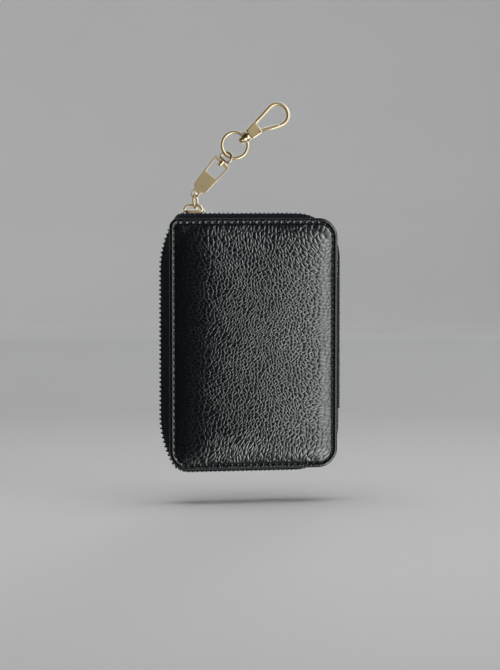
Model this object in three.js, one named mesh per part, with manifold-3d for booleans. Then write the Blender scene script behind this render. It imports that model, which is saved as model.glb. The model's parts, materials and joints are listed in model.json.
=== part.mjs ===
// Zip wallet of padded leather with a pull chain and a snap hook.
// Millimetres, +X right, +Y back, +Z up. The wallet stands on its lower zip, centred on the origin.
import * as THREE from 'three';
import { mergeVertices } from 'three/addons/utils/BufferGeometryUtils.js';
import Module from 'manifold-3d';

const wasm = await Module();
wasm.setup();

// Gap between neighbouring pieces, and the running gap of pieces that turn or slide
const CLEAR = 0.3;

// How far a cutting shape stands past the faces that it opens
const CUT = 1;

// Facets: sides of a wire, sides of a turned piece, steps of a corner, of a panel's corner, of a bend
// and of a full ring
const WIRE_SIDES = 8;
const TURNED_SIDES = 12;
const CORNER_STEPS = 4;
const PANEL_CORNER_STEPS = 6;
const BEND_STEPS = 10;
const RING_STEPS = 28;

// Points along a path where the nearest one is looked up
const PATH_POINTS = 2000;

// Covers
const PANEL_WIDTH = 78;
const PANEL_HEIGHT = 114;
const CORNER_RADIUS = 9;
const FRONT_SLIDER_CORNER_RADIUS = 4;
const BACK_ZIP_CORNER_RADIUS = 18;
const LEATHER = 1.2;
const CROWN = 2.6;
const CROWN_MARGIN = 20;
const CROWN_RINGS = [0, 0.09, 0.22, 0.4, 0.65, 1];
const INNER_CORNER_RADIUS = 1;
const BOARD = 0.8;
const BOARD_INSET = 7;
const LINING = 0.5;
const LINING_INSET = 3.5;

// Pockets inside each cover
const COMPARTMENT_DEPTH = 5.8;
const POCKET = 0.5;
const POCKET_INSET = 6;
const CARD_POCKETS = 3;
const CARD_STEP = 11;
const SLIP_OPENING = 9;

// Zip: how far its teeth stand past the panels, and its rows of teeth
const SIDE_BULGE = 2.6;
const END_BULGE = 2;
const TOP_BULGE = 2.6;
const ZIP_SPINE_RADIUS = 20;
const ZIP_CORNER_INSET = 6;
const ZIP_UPPER_RADIUS = 3;
const ZIP_LOWER_RADIUS = 7;
const ZIP_EASE_LENGTH = 14;
const ZIP_EASE_RADIUS = 45;
const TOOTH_PITCH = 2.1;
const TOOTH_WIDTH = 0.75;
const TOOTH_HEIGHT = 1.8;
const TOOTH_LENGTH = 1.6;
const TOOTH_MESH = 1.0;
const PARTED_GAP = 1.6;
const BEAD = 0.7;
const TAPE = 0.6;
const TAPE_TUCK = 2.5;
const TAPE_TAIL = 27;
const TAPE_STEP = 5;
const STOP_INSET = 9;
const STOP_LENGTH = 2.4;

// Spine
const SPINE = 0.9;
const SPINE_GAP = 0.4;
const SPINE_STEPS = 6;

// Slider
const SLIDER_INSET = 12.6;
const SLIDER_LENGTH = 10;
const SLIDER_PLATE = 0.8;
const SLIDER_WALL = 0.8;
const WEDGE_LENGTH = 3;
const BAIL_WIRE = 1.2;
const BAIL_SPAN = 8.4;
const BAIL_CORNER = 2.8;
const BAIL_HOLD = 1.2;

// Chain from the bail to the hook
const JUMP_WIRE = 1.1;
const JUMP_HALF_WIDTH = 2.6;
const JUMP_LENGTH = 6.4;
const JUMP_ANGLE = 95;
const JUMP_TURN = 30;
const PLATE_ANGLE = 48.8;
const PLATE_THICKNESS = 1.3;
const PLATE_WIDTH = 8.6;
const SHOULDER_WIDTH = 6.8;
const NECK_LENGTH = 3.2;
const NECK_WIDTH = 3.8;
const PLATE_BODY = 8.0;
const WINDOW_LENGTH = 7.0;
const WINDOW_BAR = 0.8;
const END_BAR = 1.4;
const RIVET_SHAFT = 1.0;
const RIVET_HEAD = 2.2;
const RIVET_HEAD_LENGTH = 1;
const RIVET_CHAMFER = 0.35;
const BOSS_WALL = 0.6;
const LOOP_WIRE = 1.1;
const LOOP_HALF_WIDTH = 2.6;
const LOOP_ROOM = 1.2;
const LOOP_TURN = 60;
const KEY_RING_DIAMETER = 13.4;
const KEY_RING_WIRE = 1.5;
const KEY_RING_ANGLE = 54.5;

// Snap hook
const HOOK_ANGLE = 37;
const COLLAR_RADIUS = 2.6;
const COLLAR_WALL = 0.5;
const COLLAR_GROOVE = 0.25;
const KNOB_RADIUS = 1.5;
const KNOB_LENGTH = 1.9;
const POST = 1.8;
const POST_HEAD = 2.8;
const POST_HEAD_LENGTH = 0.9;
const MOUTH_LENGTH = 0.8;
const HOOK_BASE_LENGTH = 6;
const HOOK_BASE_WIDTH = 5;
const HOOK_BASE_DEPTH = 4.6;
const HOOK_BASE_FLARE = 0.4;
const HOOK_BASE_CORNER = 0.8;
const HOOK_BASE_LIP = 0.12;
const HOOK_WEB = 1.4;
const HOOK_WEB_DEPTH = 2;
const HOOK_WIRE = 1.8;
const HOOK_DEPTH = 2.4;
const HOOK_LOOP_RADIUS = 4.95;
const HOOK_LOOP_U = 16.4;
const HOOK_LOOP_V = -0.8;
const HOOK_ARM_ANGLE = 99.5;
const HOOK_NOSE_ANGLE = -118;
const GATE_WIDTH = 1.7;
const GATE_PIN = 1.0;
const GATE_PIN_U = 4.9;
const GATE_PIN_V = -1.6;
const GATE_HEEL = 1.4;
const SPRING_LEAF = 0.25;

// Worked-out places
const halfWidth = PANEL_WIDTH / 2;
const panelBottom = END_BULGE;
const panelTop = panelBottom + PANEL_HEIGHT;
const layers = layerDepths();
const spineX = halfWidth + SIDE_BULGE;
const zipLeft = -(spineX - TOOTH_HEIGHT / 2);
const zipRight = spineX - TOOTH_HEIGHT / 2;
const zipTop = panelTop + TOP_BULGE - TOOTH_HEIGHT / 2;
const zipBottom = TOOTH_HEIGHT / 2;
const sliderX = -halfWidth + SLIDER_INSET;
const stopX = halfWidth - STOP_INSET;

// Depths of the layers of a cover, measured from the middle plane of the wallet outwards
function layerDepths() {
  const cards = [];
  let depth = COMPARTMENT_DEPTH / 2;
  for (let card = 0; card < CARD_POCKETS; card += 1) {
    cards.push(depth);
    depth += POCKET + CLEAR;
  }
  const slip = depth;
  const lining = slip + POCKET + CLEAR;
  const board = lining + LINING + CLEAR;
  const foam = board + BOARD + CLEAR;
  return { cards, slip, lining, board, foam, tape: foam - TAPE / 2, leather: foam + CLEAR };
}

function material(color, roughness, metalness) {
  return new THREE.MeshStandardMaterial({ color, roughness, metalness });
}

const finishes = {
  leather: () => material(0x17191a, 0.45, 0),
  foam: () => material(0xd8d2c4, 0.95, 0),
  board: () => material(0x8a7a62, 0.9, 0),
  lining: () => material(0x24262a, 0.8, 0),
  tape: () => material(0x16181d, 0.85, 0),
  teeth: () => material(0x121316, 0.4, 0),
  gold: () => material(0xd9c48f, 0.25, 1),
  steel: () => material(0xa8a8a4, 0.35, 1),
};

const wallet = new THREE.Group();

function addPiece(name, geometry, finish, parent = wallet) {
  const piece = new THREE.Mesh(geometry, finishes[finish]());
  piece.name = name;
  parent.add(piece);
  return piece;
}

// A group whose local x and y axes lie along the two given directions
function groupAt(place, along, across) {
  const group = new THREE.Group();
  const x = along.clone().normalize();
  const y = across.clone().normalize();
  const z = new THREE.Vector3().crossVectors(x, y);
  group.quaternion.setFromRotationMatrix(new THREE.Matrix4().makeBasis(x, y, z));
  group.position.copy(place);
  wallet.add(group);
  return group;
}

// A direction in the plane of the chain, which hangs in the middle plane of the wallet
function chainDirection(degrees) {
  const angle = THREE.MathUtils.degToRad(degrees);
  return new THREE.Vector3(Math.cos(angle), 0, Math.sin(angle));
}

// A closed mesh from corner points and triangles, turned so that its faces point out
function closedMesh(points, triangles) {
  let volume = 0;
  for (const [a, b, c] of triangles) {
    volume += points[a].dot(new THREE.Vector3().crossVectors(points[b], points[c]));
  }
  const order = volume < 0 ? triangles.map(([a, b, c]) => [a, c, b]) : triangles;
  const geometry = new THREE.BufferGeometry().setFromPoints(points);
  geometry.setIndex(order.flat());
  return geometry;
}

function solid(geometry) {
  const plain = geometry.clone();
  plain.deleteAttribute('normal');
  plain.deleteAttribute('uv');
  const merged = mergeVertices(plain, 1e-4);
  return new wasm.Manifold(new wasm.Mesh({
    numProp: 3,
    vertProperties: new Float32Array(merged.attributes.position.array),
    triVerts: new Uint32Array(merged.index.array),
  }));
}

function geometryOf(manifold) {
  const mesh = manifold.getMesh();
  const geometry = new THREE.BufferGeometry();
  geometry.setAttribute('position', new THREE.BufferAttribute(mesh.vertProperties, 3));
  geometry.setIndex(new THREE.BufferAttribute(mesh.triVerts, 1));
  return geometry;
}

function joined(geometries) {
  return geometries.map(solid).reduce((whole, next) => whole.add(next));
}

// Joins rings of points into a skin; open skins get a flat cap at both ends
function skin(rings, closed) {
  const count = rings[0].length;
  const points = rings.flat();
  const triangles = [];
  const last = closed ? rings.length : rings.length - 1;
  for (let ring = 0; ring < last; ring += 1) {
    const next = (ring + 1) % rings.length;
    for (let k = 0; k < count; k += 1) {
      const a = ring * count + k;
      const b = ring * count + (k + 1) % count;
      const c = next * count + (k + 1) % count;
      const d = next * count + k;
      triangles.push([a, b, c], [a, c, d]);
    }
  }
  if (!closed) {
    const end = (rings.length - 1) * count;
    for (let k = 1; k < count - 1; k += 1) {
      triangles.push([0, k + 1, k], [end, end + k, end + k + 1]);
    }
  }
  return closedMesh(points, triangles);
}

// A wire of the given section along a flat path in the local xy plane
function wire(path, section, closed) {
  const count = path.length;
  const rings = path.map((point, i) => {
    const before = closed ? path[(i + count - 1) % count] : path[Math.max(i - 1, 0)];
    const after = closed ? path[(i + 1) % count] : path[Math.min(i + 1, count - 1)];
    const along = after.clone().sub(before).normalize();
    const side = new THREE.Vector2(-along.y, along.x);
    return section.map(([across, depth]) => new THREE.Vector3(
      point.x + side.x * across,
      point.y + side.y * across,
      depth,
    ));
  });
  return skin(rings, closed);
}

// Round section with flats turned to the sides, so that its width is the wire's own
function roundSection(width, depth = width) {
  const reach = 1 / Math.cos(Math.PI / WIRE_SIDES);
  return Array.from({ length: WIRE_SIDES }, (_, k) => {
    const angle = ((k + 0.5) / WIRE_SIDES) * 2 * Math.PI;
    return [
      Math.cos(angle) * reach * width / 2,
      Math.sin(angle) * reach * depth / 2,
    ];
  });
}

function arcPoints(x, y, radius, from, to, steps) {
  return Array.from({ length: steps + 1 }, (_, k) => {
    const angle = THREE.MathUtils.degToRad(from + (to - from) * k / steps);
    return new THREE.Vector2(x + radius * Math.cos(angle), y + radius * Math.sin(angle));
  });
}

// A path through corners [x, y, radius], each rounded by an arc; the ends have no radius
function roundedPath(corners, shape = new THREE.Path()) {
  const at = corners.map(([x, y]) => new THREE.Vector2(x, y));
  shape.moveTo(at[0].x, at[0].y);
  for (let k = 1; k < corners.length - 1; k += 1) {
    const back = at[k - 1].clone().sub(at[k]).normalize();
    const ahead = at[k + 1].clone().sub(at[k]).normalize();
    const half = Math.acos(back.dot(ahead)) / 2;
    const radius = corners[k][2];
    const middle = back.clone().add(ahead).normalize().multiplyScalar(radius / Math.sin(half));
    const centre = at[k].clone().add(middle);
    const start = at[k].clone().addScaledVector(back, radius / Math.tan(half)).sub(centre);
    const end = at[k].clone().addScaledVector(ahead, radius / Math.tan(half)).sub(centre);
    const clockwise = back.cross(ahead) > 0;
    shape.lineTo(centre.x + start.x, centre.y + start.y);
    shape.absarc(centre.x, centre.y, radius, start.angle(), end.angle(), clockwise);
  }
  const last = at[at.length - 1];
  shape.lineTo(last.x, last.y);
  return shape;
}

function roundedRectangle(left, bottom, right, top, radius, leftRadius = radius) {
  const start = (left + leftRadius + right - radius) / 2;
  return roundedPath([
    [start, bottom],
    [right, bottom, radius],
    [right, top, radius],
    [left, top, leftRadius],
    [left, bottom, leftRadius],
    [start, bottom],
  ], new THREE.Shape());
}

function extruded(shape, depth, segments = CORNER_STEPS) {
  return new THREE.ExtrudeGeometry(shape, { depth, bevelEnabled: false, curveSegments: segments });
}

// Points round a cover's edge, in from it by the inset, in the same order for every inset
function panelRing(side, inset) {
  const left = -halfWidth + inset;
  const right = halfWidth - inset;
  const bottom = panelBottom + inset;
  const top = panelTop - inset;
  const front = side < 0;
  const corners = [
    [right, bottom, CORNER_RADIUS, -90],
    [right, top, CORNER_RADIUS, 0],
    [left, top, front ? FRONT_SLIDER_CORNER_RADIUS : BACK_ZIP_CORNER_RADIUS, 90],
    [left, bottom, front ? CORNER_RADIUS : BACK_ZIP_CORNER_RADIUS, 180],
  ];
  return corners.flatMap(([x, z, full, from]) => {
    const radius = Math.max(full - inset, INNER_CORNER_RADIUS);
    const cx = x - Math.sign(x) * radius;
    const cz = z > (panelBottom + panelTop) / 2 ? z - radius : z + radius;
    return arcPoints(cx, cz, radius, from, from + 90, PANEL_CORNER_STEPS);
  });
}

function panelShape(side, inset) {
  return new THREE.Shape(panelRing(side, inset));
}

// Rise of the padded cover above its rim, level past the margin
function crownAt(inset) {
  const share = Math.min(inset / CROWN_MARGIN, 1);
  return CROWN * (1 - (1 - share) ** 2);
}

// A sheet or pad over the panel: its inner and outer depths follow the given rules
function paddedSheet(side, insets, innerDepth, outerDepth) {
  const ringAt = (inset, depth) => panelRing(side, inset).map(
    (point) => new THREE.Vector3(point.x, side * depth, point.y),
  );
  const outer = insets.map((inset) => ringAt(inset, outerDepth(inset)));
  const inner = insets.map((inset) => ringAt(inset, innerDepth(inset)));
  return skin([...inner.reverse(), ...outer], false);
}

// A flat sheet between two depths of a cover
function flatSheet(side, shape, depth, thickness) {
  const geometry = extruded(shape, thickness);
  geometry.rotateX(Math.PI / 2);
  geometry.translate(0, side > 0 ? depth + thickness : -depth, 0);
  return geometry;
}

// Zip path through the middle of the teeth, from the upper right end round to the lower right end
const zipPath = roundedPath([
  [zipRight, panelTop - TAPE_TAIL],
  [zipRight, zipTop, ZIP_SPINE_RADIUS],
  [-halfWidth + ZIP_CORNER_INSET, zipTop, ZIP_UPPER_RADIUS],
  [zipLeft, zipTop - ZIP_EASE_LENGTH, ZIP_EASE_RADIUS],
  [zipLeft, zipBottom + ZIP_EASE_LENGTH, ZIP_EASE_RADIUS],
  [-halfWidth + ZIP_CORNER_INSET, zipBottom, ZIP_LOWER_RADIUS],
  [zipRight, zipBottom, ZIP_SPINE_RADIUS],
  [zipRight, panelBottom + TAPE_TAIL],
]);
zipPath.arcLengthDivisions = PATH_POINTS;
const zipLength = zipPath.getLength();

function zipAt(distance) {
  const share = THREE.MathUtils.clamp(distance / zipLength, 0, 1);
  const point = zipPath.getPointAt(share);
  const along = zipPath.getTangentAt(share);
  return { point, outward: new THREE.Vector2(along.y, -along.x) };
}

// Distance along the zip at which its upper or lower run crosses x
function zipDistance(x, upper) {
  for (let k = 0; k <= PATH_POINTS; k += 1) {
    const distance = zipLength * k / PATH_POINTS;
    const { point } = zipAt(distance);
    const reached = upper ? point.x <= x : distance > zipLength / 2 && point.x >= x;
    if (reached) return distance;
  }
  return zipLength;
}

const firstTooth = zipDistance(stopX, true);
const lastTooth = zipDistance(stopX, false);
const sliderAt = zipDistance(sliderX, true);

// Places of the stops past the two ends of the teeth
const upperStop = firstTooth - TOOTH_PITCH / 2 - CLEAR;
const upperEnd = upperStop - STOP_LENGTH;
const lowerStop = lastTooth + TOOTH_PITCH + CLEAR;
const lowerEnd = lowerStop + STOP_LENGTH;

// How far each row is drawn back from the middle plane: parted above, meshed past the slider
function rowShift(distance) {
  const start = sliderAt - SLIDER_LENGTH / 4;
  const share = THREE.MathUtils.smoothstep(distance, start, start + SLIDER_LENGTH / 2);
  return (TOOTH_MESH / 2 + PARTED_GAP / 2) * (1 - share);
}

function zipPoint(side, distance, rise, depth) {
  const { point, outward } = zipAt(distance);
  return new THREE.Vector3(
    point.x + outward.x * rise,
    side * depth,
    point.y + outward.y * rise,
  );
}

const beadInner = (distance) => TOOTH_LENGTH - TOOTH_MESH / 2 + rowShift(distance);
const beadOuter = (distance) => beadInner(distance) + BEAD;

// One row of teeth on its bead: each tooth is a box that stands on the bead's inner face
function toothRow(side) {
  const half = TOOTH_HEIGHT / 2;
  const offset = side < 0 ? TOOTH_PITCH / 2 : 0;
  const edges = [firstTooth - TOOTH_PITCH / 2 + offset];
  const space = (TOOTH_PITCH - TOOTH_WIDTH) / 2;
  const teeth = Math.floor((lastTooth - firstTooth) / TOOTH_PITCH);
  for (let tooth = 0; tooth < teeth; tooth += 1) {
    const middle = firstTooth + offset + tooth * TOOTH_PITCH;
    edges.push(middle - TOOTH_WIDTH / 2, middle + TOOTH_WIDTH / 2);
  }
  edges.push(edges[edges.length - 1] + space);
  const points = [];
  const triangles = [];
  const quad = (a, b, c, d) => triangles.push([a, b, c], [a, c, d]);
  edges.forEach((distance) => {
    const outer = beadOuter(distance);
    const inner = beadInner(distance);
    points.push(
      zipPoint(side, distance, -half, outer),
      zipPoint(side, distance, half, outer),
      zipPoint(side, distance, half, inner),
      zipPoint(side, distance, -half, inner),
    );
  });
  for (let k = 0; k < edges.length - 1; k += 1) {
    const a = k * 4;
    const b = a + 4;
    quad(a, a + 1, b + 1, b);
    quad(a + 1, a + 2, b + 2, b + 1);
    quad(a + 3, a, b, b + 3);
    if (k % 2 === 0) {
      quad(a + 2, a + 3, b + 3, b + 2);
    } else {
      const tip = points.length;
      const depthA = beadInner(edges[k]) - TOOTH_LENGTH;
      const depthB = beadInner(edges[k + 1]) - TOOTH_LENGTH;
      points.push(
        zipPoint(side, edges[k], half, depthA),
        zipPoint(side, edges[k], -half, depthA),
        zipPoint(side, edges[k + 1], -half, depthB),
        zipPoint(side, edges[k + 1], half, depthB),
      );
      quad(a + 2, a + 3, tip + 1, tip);
      quad(a + 3, b + 3, tip + 2, tip + 1);
      quad(b + 3, b + 2, tip + 3, tip + 2);
      quad(b + 2, a + 2, tip, tip + 3);
      quad(tip, tip + 1, tip + 2, tip + 3);
    }
  }
  const end = (edges.length - 1) * 4;
  quad(0, 3, 2, 1);
  quad(end, end + 1, end + 2, end + 3);
  return closedMesh(points, triangles);
}

// Inner edge of the tape: beside the bead along the teeth, up to the middle plane past the stops
function tapeStart(distance) {
  const toEnd = THREE.MathUtils.smoothstep(distance, lowerEnd + CLEAR, lowerEnd + STOP_LENGTH);
  const fromEnd = THREE.MathUtils.smoothstep(-distance, CLEAR - upperEnd, STOP_LENGTH - upperEnd);
  return THREE.MathUtils.lerp(beadOuter(distance) + CLEAR, CLEAR / 2, Math.max(toEnd, fromEnd));
}

// Woven tape: flat beside the teeth, then slanting in to its tucked edge under the leather
function zipTape(side) {
  const shelf = sliderHalfWidth + 2 * CLEAR;
  const tucked = new THREE.Path(panelRing(side, TAPE_TUCK));
  tucked.closePath();
  const edge = tucked.getSpacedPoints(PATH_POINTS);
  const steps = Math.round(zipLength / TAPE_STEP);
  const even = Array.from({ length: steps + 1 }, (_, k) => zipLength * k / steps);
  const bends = [
    upperEnd - STOP_LENGTH,
    upperEnd - CLEAR,
    lowerEnd + CLEAR,
    lowerEnd + STOP_LENGTH,
  ];
  const distances = [...even, ...bends].sort((a, b) => a - b);
  const rings = [];
  for (const distance of distances) {
    const { point } = zipAt(distance);
    const near = edge.reduce((a, b) => (a.distanceTo(point) < b.distanceTo(point) ? a : b));
    const start = tapeStart(distance);
    const half = TAPE / 2;
    rings.push([
      zipPoint(side, distance, -half, start),
      zipPoint(side, distance, half, start),
      zipPoint(side, distance, half, shelf),
      new THREE.Vector3(near.x, side * (layers.tape + half), near.y),
      new THREE.Vector3(near.x, side * (layers.tape - half), near.y),
      zipPoint(side, distance, -half, shelf - half),
    ]);
  }
  return skin(rings, false);
}

// A small block that closes a run of teeth, over the depths given
function zipStop(side, start, end, inner, outer, half) {
  const ring = (distance) => [
    zipPoint(side, distance, -half, inner),
    zipPoint(side, distance, half, inner),
    zipPoint(side, distance, half, outer),
    zipPoint(side, distance, -half, outer),
  ];
  return skin([ring(start), ring(end)], false);
}

// Half of the spine: a bowed leather strip from the panel's edge to the fold in the middle plane
function spineHalf(side) {
  const rim = halfWidth + CLEAR;
  const reach = layers.leather;
  const bow = spineX - rim - SPINE;
  const strip = [];
  for (let k = 0; k <= SPINE_STEPS; k += 1) {
    const depth = CLEAR / 2 + (reach - CLEAR / 2) * k / SPINE_STEPS;
    strip.push(new THREE.Vector2(rim + bow * (1 - (depth / reach) ** 2), depth));
  }
  const outer = strip.map((point) => new THREE.Vector2(point.x + SPINE, point.y)).reverse();
  const outline = [...strip, ...outer].map((point) => new THREE.Vector2(point.x, side * point.y));
  const bottom = panelBottom + TAPE_TAIL + SPINE_GAP;
  const top = panelTop - TAPE_TAIL - SPINE_GAP;
  const geometry = extruded(new THREE.Shape(outline), top - bottom);
  geometry.translate(0, 0, bottom);
  return geometry;
}

const sliderHalfWidth = beadOuter(firstTooth) + CLEAR + SLIDER_WALL;

// Covers, from the leather inwards
function buildCover(prefix, side) {
  const insets = CROWN_RINGS.map((share) => share * CROWN_MARGIN);
  addPiece(`${prefix}_leather`, paddedSheet(
    side,
    insets,
    (inset) => layers.leather + crownAt(inset),
    (inset) => layers.leather + LEATHER + crownAt(inset),
  ), 'leather');
  const padInsets = [BOARD_INSET, (BOARD_INSET + CROWN_MARGIN) / 2, CROWN_MARGIN];
  addPiece(`${prefix}_foam`, paddedSheet(
    side,
    padInsets,
    () => layers.foam,
    (inset) => layers.leather + crownAt(inset) - CLEAR,
  ), 'foam');
  const board = flatSheet(side, panelShape(side, BOARD_INSET), layers.board, BOARD);
  addPiece(`${prefix}_board`, board, 'board');
  const lining = flatSheet(side, panelShape(side, LINING_INSET), layers.lining, LINING);
  addPiece(`${prefix}_lining`, lining, 'lining');
  const left = -halfWidth + POCKET_INSET;
  const bottom = panelBottom + POCKET_INSET;
  const top = panelTop - POCKET_INSET;
  const slipRight = halfWidth - SLIP_OPENING;
  const corner = POCKET_INSET / 2;
  const leftCorner = side < 0 ? corner : Math.max(BACK_ZIP_CORNER_RADIUS - POCKET_INSET, corner);
  const slip = roundedRectangle(left, bottom, slipRight, top, corner, leftCorner);
  addPiece(`${prefix}_slip_pocket`, flatSheet(side, slip, layers.slip, POCKET), 'lining');
  layers.cards.forEach((depth, card) => {
    const right = slipRight - CARD_STEP * (CARD_POCKETS - card);
    const pocket = roundedRectangle(left, bottom, right, top, corner, leftCorner);
    const sheet = flatSheet(side, pocket, depth, POCKET);
    addPiece(`${prefix}_card_pocket_${card + 1}`, sheet, 'leather');
  });
  addPiece(`${prefix}_zip_tape`, zipTape(side), 'tape');
  addPiece(`${prefix}_zip_teeth`, toothRow(side), 'teeth');
  addPiece(`${prefix}_spine`, spineHalf(side), 'leather');
  const tip = PARTED_GAP / 2;
  const high = TOOTH_HEIGHT / 2 + 2 * CLEAR;
  const stop = zipStop(side, upperEnd, upperStop, tip, beadOuter(upperStop), high);
  addPiece(`${prefix}_top_stop`, stop, 'gold');
}

buildCover('front', -1);
buildCover('back', 1);

const stopReach = beadOuter(lastTooth);
const lowerBlock = zipStop(1, lowerStop, lowerEnd, -stopReach, stopReach, TOOTH_HEIGHT / 2);
addPiece('bottom_stop', lowerBlock, 'gold');

// Slider: two plates with side walls, joined by the wedge that parts the rows, and a cast bail
const channelTop = TOOTH_HEIGHT / 2 + CLEAR;
const plateTop = channelTop + SLIDER_PLATE;
const slotHalf = TAPE / 2 + CLEAR;
const bailInner = 2 * CLEAR + JUMP_WIRE;
const bailMiddle = plateTop + bailInner + BAIL_WIRE / 2;

function sliderGeometry() {
  const half = SLIDER_LENGTH / 2;
  const plan = roundedRectangle(-half, -sliderHalfWidth, half, sliderHalfWidth, sliderHalfWidth / 2);
  const upper = extruded(plan, SLIDER_PLATE);
  upper.translate(0, 0, channelTop);
  const lower = extruded(plan, SLIDER_PLATE);
  lower.translate(0, 0, -plateTop);
  const wallLength = SLIDER_LENGTH - sliderHalfWidth;
  const wallHeight = channelTop - slotHalf + SLIDER_PLATE / 2;
  const walls = [];
  for (const across of [-1, 1]) {
    for (const up of [-1, 1]) {
      const wall = new THREE.BoxGeometry(wallLength, SLIDER_WALL, wallHeight);
      const y = across * (sliderHalfWidth - SLIDER_WALL / 2);
      wall.translate(0, y, up * (slotHalf + wallHeight / 2));
      walls.push(wall);
    }
  }
  const wedgeHalf = PARTED_GAP / 2 - CLEAR;
  const wedgeStart = half - SLIDER_WALL - WEDGE_LENGTH;
  const wedge = new THREE.Shape([
    new THREE.Vector2(wedgeStart, 0),
    new THREE.Vector2(wedgeStart + WEDGE_LENGTH / 2, -wedgeHalf),
    new THREE.Vector2(wedgeStart + WEDGE_LENGTH, -wedgeHalf),
    new THREE.Vector2(wedgeStart + WEDGE_LENGTH, wedgeHalf),
    new THREE.Vector2(wedgeStart + WEDGE_LENGTH / 2, wedgeHalf),
  ]);
  const post = extruded(wedge, 2 * channelTop + SLIDER_PLATE);
  post.translate(0, 0, -channelTop - SLIDER_PLATE / 2);
  const foot = plateTop - SLIDER_PLATE / 2;
  const arch = roundedPath([
    [-BAIL_SPAN / 2, foot],
    [-BAIL_SPAN / 2, bailMiddle, BAIL_CORNER],
    [BAIL_SPAN / 2, bailMiddle, BAIL_CORNER],
    [BAIL_SPAN / 2, foot],
  ]);
  const bail = wire(arch.getPoints(CORNER_STEPS), roundSection(BAIL_WIRE), false);
  bail.rotateX(Math.PI / 2);
  return geometryOf(joined([upper, lower, ...walls, post, bail]));
}

const slider = addPiece('zip_slider', sliderGeometry(), 'gold');
slider.position.set(sliderX, 0, zipTop);

// Jump ring: an oval link, turned a little towards the front, round the bail's bar and through
// the hole in the plate's neck
const depthAxis = new THREE.Vector3(0, 1, 0);
const jumpAxis = chainDirection(JUMP_ANGLE);
const barPlace = new THREE.Vector3(sliderX + BAIL_HOLD, 0, zipTop + bailMiddle);
const jumpLow = BAIL_WIRE / 2 + CLEAR + JUMP_WIRE / 2;
const jumpTurn = THREE.MathUtils.degToRad(JUMP_TURN);
const jumpAcross = depthAxis.clone().applyAxisAngle(jumpAxis, -jumpTurn);
const jumpGroup = groupAt(barPlace, jumpAxis, jumpAcross);
const jumpStraight = Math.max(JUMP_LENGTH - 2 * JUMP_HALF_WIDTH, 0);
const jumpPath = [
  ...arcPoints(JUMP_HALF_WIDTH - jumpLow, 0, JUMP_HALF_WIDTH, 90, 270, BEND_STEPS),
  ...arcPoints(JUMP_HALF_WIDTH - jumpLow + jumpStraight, 0, JUMP_HALF_WIDTH, -90, 90, BEND_STEPS),
];
addPiece('jump_ring', wire(jumpPath, roundSection(JUMP_WIRE), true), 'gold', jumpGroup);
const neckHole = barPlace.clone()
  .addScaledVector(jumpAxis, 2 * JUMP_HALF_WIDTH + jumpStraight - jumpLow);

// Pull plate: neck with its hole, tapered shoulders, body, window and an end bar with a bored boss
const plateAxis = chainDirection(PLATE_ANGLE);
const plateAcross = chainDirection(PLATE_ANGLE + 90);
const windowStart = NECK_LENGTH + PLATE_BODY;
const windowEnd = windowStart + WINDOW_LENGTH;
const plateEnd = windowEnd + END_BAR;
const bossBore = RIVET_SHAFT / 2 + CLEAR;
const bossRadius = bossBore + BOSS_WALL;

// A cylinder along the local x axis between two places on it
function cylinderAlong(radius, start, end) {
  const cylinder = new THREE.CylinderGeometry(radius, radius, end - start, TURNED_SIDES);
  cylinder.rotateZ(-Math.PI / 2);
  cylinder.translate((start + end) / 2, 0, 0);
  return cylinder;
}

function plateGeometry() {
  const neck = NECK_WIDTH / 2;
  const shoulder = SHOULDER_WIDTH / 2;
  const half = PLATE_WIDTH / 2;
  const halfAt = (along) => THREE.MathUtils.mapLinear(along, NECK_LENGTH, plateEnd, shoulder, half);
  const outline = new THREE.Shape();
  outline.absarc(0, 0, neck, Math.PI / 2, -Math.PI / 2, false);
  outline.lineTo(NECK_LENGTH - neck, -neck);
  outline.quadraticCurveTo(NECK_LENGTH, -neck, NECK_LENGTH, -shoulder);
  outline.lineTo(plateEnd, -half);
  outline.lineTo(plateEnd, half);
  outline.lineTo(NECK_LENGTH, shoulder);
  outline.quadraticCurveTo(NECK_LENGTH, neck, NECK_LENGTH - neck, neck);
  const slant = PLATE_THICKNESS / 2 * Math.tan(jumpTurn);
  const holeRadius = (JUMP_WIRE / 2 + CLEAR) / Math.cos(jumpTurn) + slant;
  const hole = new THREE.Path();
  hole.absarc(0, 0, holeRadius, 0, 2 * Math.PI, true);
  const lowBar = halfAt(windowStart) - WINDOW_BAR;
  const highBar = halfAt(windowEnd) - WINDOW_BAR;
  const window = new THREE.Path([
    new THREE.Vector2(windowStart, -lowBar),
    new THREE.Vector2(windowEnd, -highBar),
    new THREE.Vector2(windowEnd, highBar),
    new THREE.Vector2(windowStart, lowBar),
  ]);
  outline.holes.push(hole, window);
  const plate = extruded(outline, PLATE_THICKNESS, TURNED_SIDES / 2);
  plate.translate(0, 0, -PLATE_THICKNESS / 2);
  const boss = cylinderAlong(bossRadius, windowEnd, plateEnd);
  const bore = cylinderAlong(bossBore, windowEnd - CUT, plateEnd + CUT);
  return geometryOf(joined([plate, boss]).subtract(solid(bore)));
}

const plateGroup = groupAt(neckHole, plateAxis, plateAcross);
addPiece('pull_plate', plateGeometry(), 'gold', plateGroup);

// Swivel loop: a closed stirrup on the plate's end bar, with a rivet whose head sits in the window
const loopBase = plateEnd + CLEAR;
const loopFloor = loopBase + LOOP_WIRE;
const ringMiddle = loopFloor + LOOP_ROOM + KEY_RING_WIRE / 2;
const bowMiddle = ringMiddle + KEY_RING_WIRE / 2 + CLEAR + LOOP_WIRE / 2;

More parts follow.
